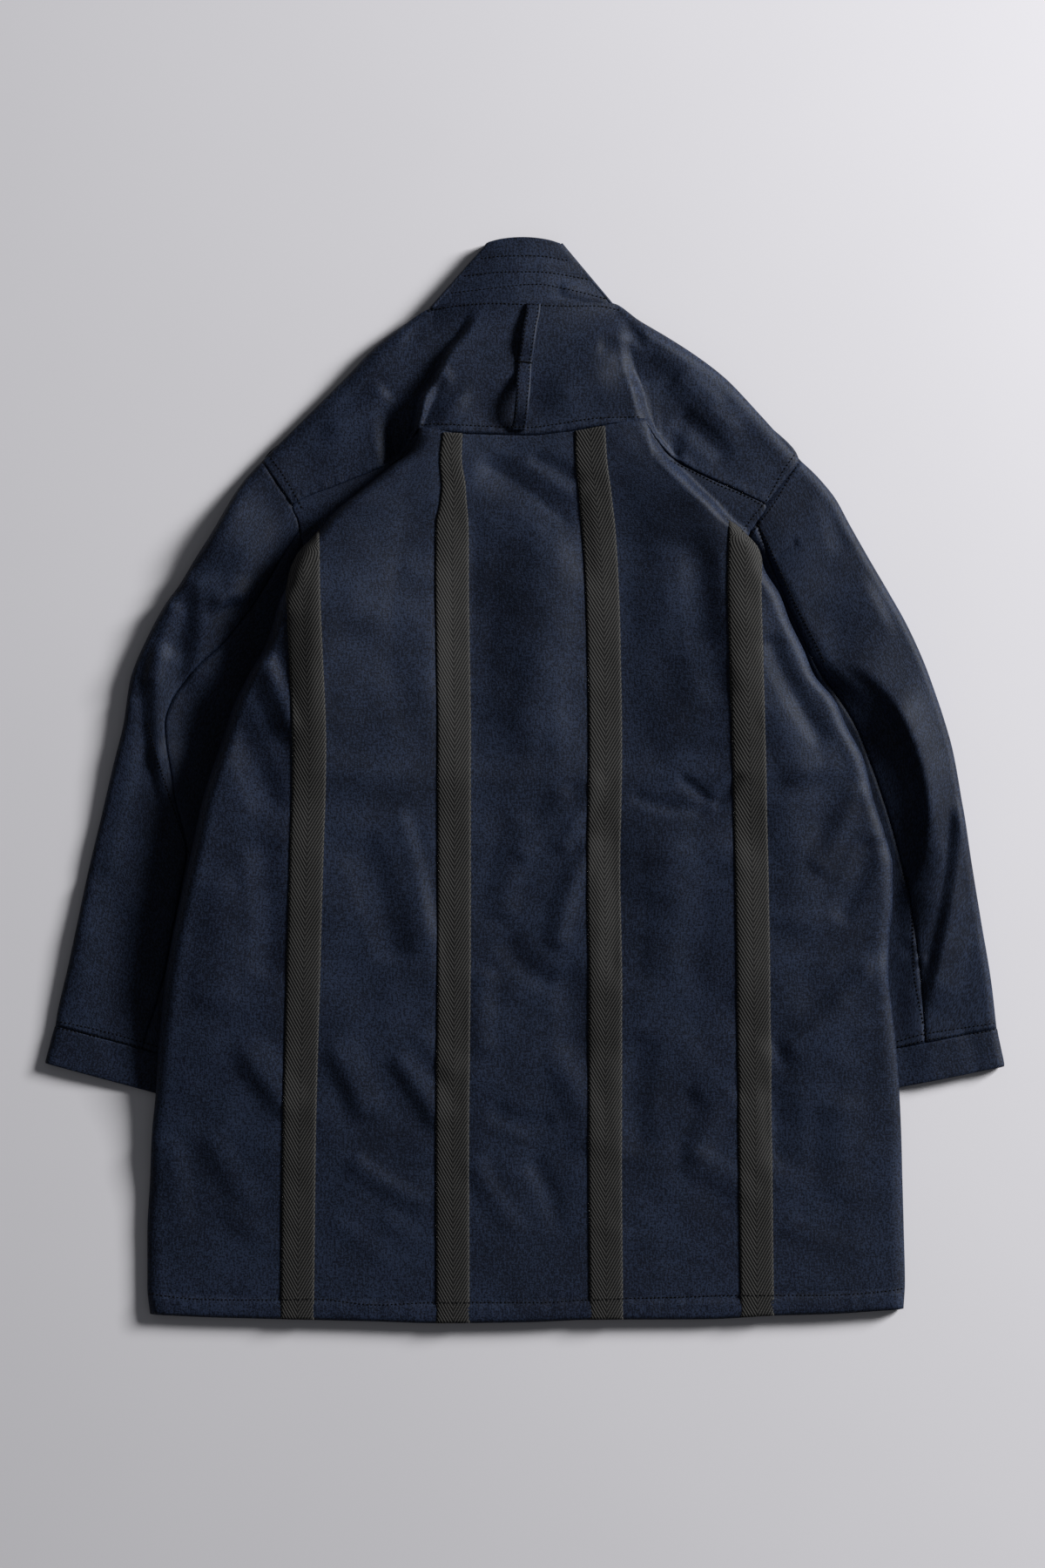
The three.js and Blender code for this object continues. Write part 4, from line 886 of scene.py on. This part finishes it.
# columns of the outer piece, round the outer fold, below it, round the inner fold, and above it
SLEEVE_COUNTS = (34, 9, 14, 5, 40)
SLEEVE_ROWS = 176
UV_COLUMN = 20
SEAM_DIP = 0.8
OUTER_COLUMNS = SLEEVE_COUNTS[0] + SLEEVE_COUNTS[1] + SLEEVE_COUNTS[2]
sleeve_pieces = {}
for side in ("left", "right"):
    ring = ring_rows(side, np.linspace(0, 1, SLEEVE_ROWS), CLOTH, SLEEVE_COUNTS)
    # the allowance of the armhole seam runs on under the body's edge
    run_in = ring[0] - ring[2]
    run_in[:, 2] = 0
    run_in /= np.linalg.norm(run_in, axis=1, keepdims=True)
    sink = ease((ring[0, :, 2:] - 6) / 4) * [[0, 0, -1.5]]
    allowance = np.stack([ring[0] + run_in * deep + sink for deep in (5, 2)])
    ring = np.concatenate([allowance, ring])
    if side == "right":
        ring = ring[:, ::-1]
    closed = np.concatenate([ring, ring[:, :1]], axis=1)
    normals = outward(closed, ring=True)[:, :-1]
    # along the back seam the cloth sinks a little between its two stitch rows
    columns_away = np.minimum(np.arange(ring.shape[1]), ring.shape[1] - 1 - np.arange(ring.shape[1]))
    seam_dip = np.exp(-(columns_away / 1.1) ** 2) * SEAM_DIP
    ring = ring - normals * seam_dip[None, :, None]
    uv = np.stack([arc(ring, 1, UV_COLUMN), arc(ring, 0, 0)], axis=2)
    outer_cut, under_cut = slice(0, OUTER_COLUMNS), slice(OUTER_COLUMNS, None)
    if side == "right":
        under_cut, outer_cut = slice(0, ring.shape[1] - OUTER_COLUMNS), slice(-OUTER_COLUMNS, None)
    for name, cut in (("sleeve", outer_cut), ("undersleeve", under_cut)):
        piece = cloth(f"{name}_{side}_cloth", ring[:, cut], uv=uv[:, cut], wall=CLOTH, lift=HALF,
                      normals=normals[:, cut])
        sleeve_pieces[f"{name}_{side}"] = piece
        sew_in(piece, f"{name}_{side}")

# ---------------------------------------------------------------- cuffs
# A doubled band of denim closes each sleeve end. It is sewn on with two rows of stitches along
# its upper edge.
CUFF_WALL = 2.0
CUFF_PUFF = 0.6
cuffs = {}
for side in ("left", "right"):
    start = 1 + SEAM_GAP / CUFF_LENGTH
    rows = np.concatenate([np.linspace(start, start + 0.06, 3), np.linspace(start + 0.1, 1.93, 10),
                           [1.96, 1.985, 2.0]])
    ring = ring_rows(side, rows, CUFF_WALL, SLEEVE_COUNTS)
    # the band has no long seams, so the columns that end there are left out
    keep = [c for c in range(ring.shape[1]) if c not in (OUTER_COLUMNS, ring.shape[1] - 1)]
    ring = ring[:, keep]
    closed = np.concatenate([ring, ring[:, :1]], axis=1)
    if side == "right":
        closed = closed[:, ::-1]
    normals = outward(closed, ring=True)
    # the band thins towards both of its edges
    ends = np.array([0.2, 0.8, 1.0] + [1.0] * 10 + [0.8, 0.45, 0.0])
    wave = soft_noise(closed[:, :, 0], closed[:, :, 1], 9, 2.9) * 0.2 * ease((closed[:, :, 2] - 2) / 2)
    lift = (CUFF_WALL / 2 - CUFF_PUFF) + CUFF_PUFF * ends[:, None] + wave
    closed = closed + normals * lift[:, :, None]
    uv = np.stack([arc(closed, 1, UV_COLUMN), arc(closed, 0, 0)], axis=2)
    cuffs[side] = cloth(f"cuff_{side}_cloth", closed, uv=uv, wall=CUFF_WALL, ring=True)
    sew_in(cuffs[side], "cuff_" + side)

# ---------------------------------------------------------------- fronts
# The two front panels of denim are sewn to the yoke at the shoulders and to the back at the side
# seams. They lie flat on the surface under the back, over the sleeves' inner folds.
BAND_SEAM = curve([413, 250, -470], [77.5, 60, 60])
FRONT_HEM = -455.0
SHOULDER_LINE = {
    "left": curve([409.5, 394.1, 375.5, 351.8, 321.8, 300, 276.8, 259.5, 240, 225],
                  [79.1, 105, 129.4, 151.9, 181.9, 204, 226.9, 212, 201, 195]),
    "right": curve([413.3, 397.5, 383.3, 366.5, 349.5, 315, 277.5, 259, 240, 225],
                   [74.6, 100, 124.1, 150, 172.1, 205, 238.1, 224, 209, 200])}
LIFT_RAMP = 30
BODY_OVER_SLEEVE = 6.3
FRONT_ROWS = 216
FRONT_COLUMNS = 46
fronts = {}
for side, sign in (("left", -1), ("right", 1)):
    rows = np.linspace(FRONT_HEM, 405, FRONT_ROWS)
    from_x, from_y, to_x, to_y = INNER[side]
    sleeve = mix(from_x, to_x, (rows - from_y) / (to_y - from_y))
    outer = np.where(rows > 211, SHOULDER_LINE[side](rows), SEAMS[side](rows)) - SEAM_GAP - 0.6
    inner = BAND_SEAM(rows) + SEAM_GAP
    share = np.linspace(0, 1, FRONT_COLUMNS)
    x = inner[:, None] + (outer - inner)[:, None] * share
    y = np.repeat(rows[:, None], FRONT_COLUMNS, axis=1)
    over = (ease((x - sleeve[:, None] + LIFT_RAMP + 4) / LIFT_RAMP) * ease((74 - y) / 26)
            * ease((y + 340) / 40))
    rise = np.where(y > 262, ease(1 - (outer[:, None] - x) / 32) * ease((y - 262) / 30), 0)
    z = HALF + (BODY_OVER_SLEEVE - HALF) * over + 6 * rise
    points = np.stack([sign * x, y, z], axis=2)
    if side == "left":
        points = points[:, ::-1]
    fronts[side] = cloth(f"front_{side}_cloth", points, wall=CLOTH, lift=HALF)
    sew_in(fronts[side], "front_" + side)

# ---------------------------------------------------------------- collar band
# One long doubled strip of denim, quilted with rows of stitches: it is sewn on across behind the
# neck, then turns under and runs down both centre fronts.
BAND_WALL = 2.4
BAND_COLUMNS = 25
BAND_FLOOR = 1.2
BAND_TOP = 12.6
BAND_TURN = (BAND_TOP - BAND_FLOOR) / 2
FOLD_LINES = {"left": ((-80, 408.2), (-31.5, 465)), "right": ((76.5, 410.2), (30.5, 464))}
BULGE = {"left": (0.35, 0.1), "right": (0.15, 0.3)}


def band_points(wide):
    rows = []
    share = np.linspace(0, 1, wide)[:, None]

    def across(sewn, free):
        rows.append(mix(np.array(sewn, float), np.array(free, float), share))

    def front(side, t):
        sign = -1 if side == "left" else 1
        sewn, free = FOLD_LINES[side]
        y = mix(sewn[1] - 4, FRONT_HEM, t)
        free_y = mix(free[1] - 4, FRONT_HEM, t)
        free_x = mix(abs(free[0]) - 1, 4, float(ease(t / 0.34)))
        across((sign * (float(BAND_SEAM(y)) - SEAM_GAP * 1.5), y, BAND_FLOOR),
               (sign * free_x, free_y, BAND_FLOOR))

    def turn(side, angle):
        sewn, free = FOLD_LINES[side]
        run = np.array([free[0] - sewn[0], free[1] - sewn[1]])
        out = np.array([-run[1], run[0]]) / np.hypot(*run)
        if side == "right":
            out = -out
        bulge = out * BAND_TURN * math.sin(angle)
        z = BAND_FLOOR + BAND_TURN * (1 + math.cos(angle))
        move, tip = bulge * BULGE[side][0], bulge * BULGE[side][1]
        across((sewn[0] + move[0], sewn[1] + move[1], z),
               (free[0] + tip[0], free[1] + tip[1], max(z * 0.85, BAND_FLOOR)))

    shares = np.concatenate([[0, 0.03], np.linspace(0.06, 1, 60)])
    for t in shares[::-1]:
        front("left", t)
    for n in range(12, 0, -1):
        turn("left", math.pi * n / 12)
    left, right = FOLD_LINES["left"], FOLD_LINES["right"]
    for s in np.linspace(0, 1, 61):
        bow = 1 - (2 * s - 1) ** 2
        sewn_x = mix(left[0][0], right[0][0], s)
        sewn_y = mix(left[0][1], right[0][1], s) + 2.6 * bow ** 0.6
        across((sewn_x, sewn_y, mix(BAND_TOP, float(neck_height(sewn_x)), bow ** 0.5) - 0.9),
               (mix(left[1][0], right[1][0], s), mix(left[1][1], right[1][1], s) + 5.6 * bow ** 0.7,
                BAND_TOP * mix(0.85, 1.0, bow ** 0.5)))
    for n in range(1, 13):
        turn("right", math.pi * n / 12)
    for t in shares:
        front("right", t)
    return np.stack(rows)


BAND_FOLDS = [
    (-75, 413.5, 14, 427, 71, 416.5, 0.9, 4, 3, 2.5),
    (30, 426, 52, 419, 74, 413, 1.6, 5, 4, 2.5),
    # drawn in along the stitch rows
    (-40, 451.5, -2, 454.2, 39, 449.8, -0.6, 2.6, 2.6, 0.8),
    (-55, 436.2, -2, 440.2, 56, 433.6, -0.6, 2.6, 2.6, 0.8),
    (-66, 421.6, 4, 428.4, 72, 416.4, -0.6, 2.6, 2.6, 0.8),
]
band = band_points(BAND_COLUMNS)
band_normals = outward(band)
# the band's face is the side that looks up behind the neck
if band_normals[len(band) // 2, BAND_COLUMNS // 2, 2] < 0:
    band = band[:, ::-1]
on_top = ease((band[:, :, 2] - 9) / 3)
band[:, :, 2] += on_top * (fold_heights(BAND_FOLDS, band[:, :, 0], band[:, :, 1])
                           + soft_noise(band[:, :, 0], band[:, :, 1], 14, 9.1) * 0.35)
band_uv = np.stack([arc(band, 1, BAND_COLUMNS // 2), arc(band, 0)], axis=2)[:, :, ::-1]
collar = cloth("collar", band, uv=band_uv, wall=BAND_WALL, lift=BAND_WALL / 2)
sew_in(collar, "collar_band")

# ---------------------------------------------------------------- hanger loop
# A doubled strap of denim from the collar seam to the yoke seam. It is tacked down in the middle,
# so that it stands off the yoke in two low arches.
STRAP_HALF = 6.0
STRAP_WALL = 1.6
STRAP = columns("y", ["y", "x", "up"], [
    [411.5, 7.6, 0.2], [403, 7, 2.2], [394, 5, 3.6], [384, 3.6, 4.0], [374, 2.3, 3.2], [366, 1, 1],
    [360, -0.1, 0], [354, -0.4, 0], [347, -0.7, 3.4], [338, -1.2, 7.4], [328, -2, 8.6],
    [319, -2.8, 7.6], [311, -3.6, 4.4], [305, -5, 1.0], [302, -5.6, 0.2]])


def rest_height(x, y):
    """Height of the cloth that the strap lies on."""
    neck = ease((414 - y) / 34)
    return mix(neck_height(x), yoke_height(x, y), neck)


strap_across = np.linspace(-1, 1, 9)[None, :]
strap_y = np.linspace(302, 411.5, 64)[:, None] + np.zeros((1, 9))
strap_x = STRAP["x"](strap_y) + strap_across * STRAP_HALF
strap_z = rest_height(STRAP["x"](strap_y), strap_y) + STRAP["up"](strap_y)
strap_z = strap_z + HALF + SEAM_GAP + STRAP_WALL / 2 + 0.2
# its edges are drawn down by their stitches
strap_z = strap_z - 0.35 * np.abs(strap_across) ** 4
strap = cloth("hanger", np.stack([strap_x, strap_y, strap_z], axis=2), wall=STRAP_WALL,
              lift=STRAP_WALL / 2)
sew_in(strap, "hanger_loop")

# ---------------------------------------------------------------- stitches
# Lockstitch in dark thread along the seams, and in paler thread at the edges of the tapes, where the left
# edges' stitches take a darker copy of it as painted shade.
# Each stitch is a short rounded dash pressed into the cloth, and a bar of close ones holds the strap.
top_cloth = [back_panel, yoke, collar, strap, *tapes.values(), *sleeve_pieces.values(), *cuffs.values()]
vertices, faces = [], []
for obj in top_cloth:
    start = len(vertices)
    vertices += [v.co.copy() for v in obj.data.vertices]
    faces += [[start + i for i in p.vertices] for p in obj.data.polygons]
surface = BVHTree.FromPolygons(vertices, faces)


def drop(x, y):
    """The place on the cloth straight below a point in plan, and the way out of it there."""
    hit, normal, _, _ = surface.ray_cast(Vector((x * MM, y * MM, 0.2)), Vector((0, 0, -1)))
    return hit, normal


# the share of a stitch's width that is pressed into the cloth
PRESSED = 0.1


def thread(name, lines, pitch, long, wide, colour):
    """Stitches along lines of places in plan; one mesh for all of them."""
    bm = bmesh.new()
    for line in lines:
        line = np.array(line, float)
        run = np.concatenate([[0], np.cumsum(np.hypot(*np.diff(line, axis=0).T))])
        x_of, y_of = curve(run, line[:, 0]), curve(run, line[:, 1])
        for s in np.arange(pitch / 2, run[-1], pitch):
            jitter = noise.noise(Vector((s * 0.9, line[0][0], line[0][1]))) * 0.25
            x, y = float(x_of(s)), float(y_of(s))
            ahead = [float(place(s + 0.5)) - float(place(s - 0.5)) for place in (x_of, y_of)]
            hit, normal = drop(x, y)
            if hit is None or hit.z < 0.002:
                continue
            way = Vector((ahead[0], ahead[1], 0)).normalized()
            way = (way - normal * way.dot(normal)).normalized()
            side = normal.cross(way)
            made = bmesh.ops.create_icosphere(bm, subdivisions=1, radius=1.0)["verts"]
            for v in made:
                a, b, c = v.co
                v.co = hit + (way * a * (long / 2 + jitter * 0.3) + side * b * wide / 2
                              + normal * (c * wide / 2 - PRESSED * wide)) * MM
    obj = object_from(bm, name)
    obj.data.materials.append(colour)
    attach(obj, "root")
    return obj


def thread_material(name, colour):
    """Dull thread, a little paler and darker by turns along its run."""
    material, tree, shader = dull_material(name, 0.8, 0.1)
    place = add_node(tree, "ShaderNodeTexCoord").outputs["Object"]
    darker = [c * 0.7 for c in colour]
    paler = [c * 1.3 for c in colour]
    tone = two_tones(tree, noise_of(tree, place, 260, 2.0), darker, paler)
    tree.links.new(tone, shader.inputs["Base Color"])
    return material


dark_thread = thread_material("dark_thread", (0.0008, 0.0010, 0.0016))
pale_thread = thread_material("pale_thread", (0.085, 0.083, 0.078))
# a darker copy of the pale thread: painted shade for the tapes' left edges, which lie on the side away
# from the light
pale_thread_painted_shade = thread_material("pale_thread_painted_shade", (0.012, 0.012, 0.012))
HEM_STITCHES = [(-325.9, -441.5), (-283, -446.3), (-233.6, -447), (-182, -446.3), (-128, -451.2),
                (-76.4, -449.3), (13, -449.3), (52, -447), (125.5, -444.8), (186.3, -443),
                (258.4, -443), (304.5, -440.3), (328.6, -437.3)]
COLLAR_STITCHES = [
    [(-38.6, 451.9), (-15.4, 453.8), (10.5, 453.8), (37.9, 450)],
    [(-52.9, 436.7), (-15.4, 439.7), (10.5, 439.7), (54.4, 434)],
    [(-64.4, 422.1), (-31.9, 425), (10.5, 428.8), (34.9, 425), (70.7, 416.9)],
    [(-84.7, 406.7), (-51.4, 411.2), (-28.9, 412), (0.8, 410.9), (33.4, 409.9), (62.6, 410.4),
     (82.1, 407.1)]]
YOKE_STITCHES = [[(-89.6, 306.8), (-79, 307.5), (-46.9, 306), (-1.9, 304.5), (68.6, 312.8), (97.1, 313.5)],
                 [(124.9, 277.5), (148.1, 266.3), (169.1, 255.8), (190.9, 246.8), (208.1, 237)]]
ARMHOLE_STITCHES = [
    [(233.6, 283.5), (223.1, 268.5), (214.1, 252), (208.1, 242.3), (197.6, 229.5), (187.1, 215.3)],
    [(239, 278.5), (228, 262), (219.5, 247), (213, 237), (203, 224), (194, 212)],
    [(-221.6, 283.5), (-208.1, 264.8), (-196.9, 246), (-191.6, 235.5)]]
CUFF_STITCHES = [
    [(-405.4, -206.3), (-379.5, -211.5), (-345.4, -220.5), (-312.4, -230.3)],
    [(-407.3, -211.5), (-379.5, -217.5), (-346.9, -225), (-322.1, -232.5)],
    [(321.4, -224.3), (344.6, -217.5), (365.6, -214.1), (387.4, -210.8), (408.4, -207.8)],
    [(321.4, -229.2), (351.4, -222), (373.1, -219), (394.9, -216), (409.9, -212.7)]]
SLEEVE_STITCHES = [
    [(201.4, 222.8), (208.9, 208.5), (215.6, 193.5), (226.9, 167.3), (241.9, 137.3),
     (254.6, 112.5), (259.1, 102)],
    [(328.9, -73.5), (334.9, -117.8), (336.4, -162), (345.4, -213), (347.6, -222.8)],
    [(-325.9, 51.8), (-306.4, -14.3), (-288.4, -67.5)]]
STRAP_STITCHES = [[(float(STRAP["x"](y)) + d * 4.2, y) for y in np.linspace(304, 408, 16)]
                  for d in (-1, 1)]
BAR_STITCHES = [[(-8.4, 361.6), (-1, 360.8), (6.4, 360.0)]]
# pitch, length and width of a seam's stitch
SEAM_STITCH = (3.5, 2.5, 1.55)

seam_lines = [HEM_STITCHES, *YOKE_STITCHES, *ARMHOLE_STITCHES, *SLEEVE_STITCHES]
seam_thread = thread("stitches_seams", seam_lines, *SEAM_STITCH, dark_thread)
collar_thread = thread("stitches_collar", COLLAR_STITCHES, *SEAM_STITCH, dark_thread)
cuff_thread = thread("stitches_cuffs", CUFF_STITCHES, 3.5, 2.5, 1.45, dark_thread)
strap_thread = thread("stitches_hanger", STRAP_STITCHES, 3.4, 2.4, 1.3, dark_thread)
# the strap's middle is held by a bar of close stitches across it
bar_thread = thread("stitches_bar", BAR_STITCHES, 0.8, 1.5, 1.9, dark_thread)
left_edges = [[(p[0] + 1.0, p[1]) for p in grid[::6, 0]] for grid in tape_grids.values()]
right_edges = [[(p[0] - 1.0, p[1]) for p in grid[::6, -1]] for grid in tape_grids.values()]
tape_thread = thread("stitches_tapes", right_edges, 3.2, 1.6, 0.85, pale_thread)
# the stitches along the tapes' left edges take the darker copy of the pale thread: painted shade
tape_thread_painted_shade = thread("stitches_tapes_left", left_edges, 2.8, 1.4, 0.8, pale_thread_painted_shade)

# ---------------------------------------------------------------- floor, light and camera
# A pale matt floor; one broad soft light low on the right, and a weak even light all round.
bm = bmesh.new()
bmesh.ops.create_grid(bm, x_segments=1, y_segments=1, size=4.0)
floor = object_from(bm, "floor")
paper, tree, shader = dull_material("paper", 0.9, 0.2)
place = add_node(tree, "ShaderNodeTexCoord").outputs["Object"]
tone = two_tones(tree, noise_of(tree, place, 2.0, 3.0), (0.645, 0.64, 0.675), (0.685, 0.68, 0.715))
tree.links.new(tone, shader.inputs["Base Color"])
floor.data.materials.append(paper)

scene = bpy.context.scene
world = bpy.data.worlds.new("room")
world.use_nodes = True
world.node_tree.nodes["Background"].inputs["Color"].default_value = (0.86, 0.88, 0.93, 1)
world.node_tree.nodes["Background"].inputs["Strength"].default_value = 0.10
scene.world = world
scene.view_settings.view_transform = "Standard"

LIGHT_PLACE = (4.2, 2.2, 1.98)
LIGHT_POWER = 552
light = bpy.data.lights.new("side_light", "AREA")
light.shape = "RECTANGLE"
light.size = 1.5
light.size_y = 1.4
light.energy = LIGHT_POWER
light.color = (1.0, 0.992, 0.98)
lamp = bpy.data.objects.new("side_light", light)
lamp.location = LIGHT_PLACE
lamp.rotation_euler = (-Vector(LIGHT_PLACE)).to_track_quat("-Z", "Y").to_euler()
scene.collection.objects.link(lamp)

camera_data = bpy.data.cameras.new("camera")
camera_data.sensor_fit = "VERTICAL"
camera_data.sensor_height = 36.0
camera_data.lens = 85.0
camera_data.dof.use_dof = False
camera_data.clip_end = 20.0
camera = bpy.data.objects.new("camera", camera_data)
camera.location = (-0.0019, -0.0015, 3.207)
scene.collection.objects.link(camera)
scene.camera = camera
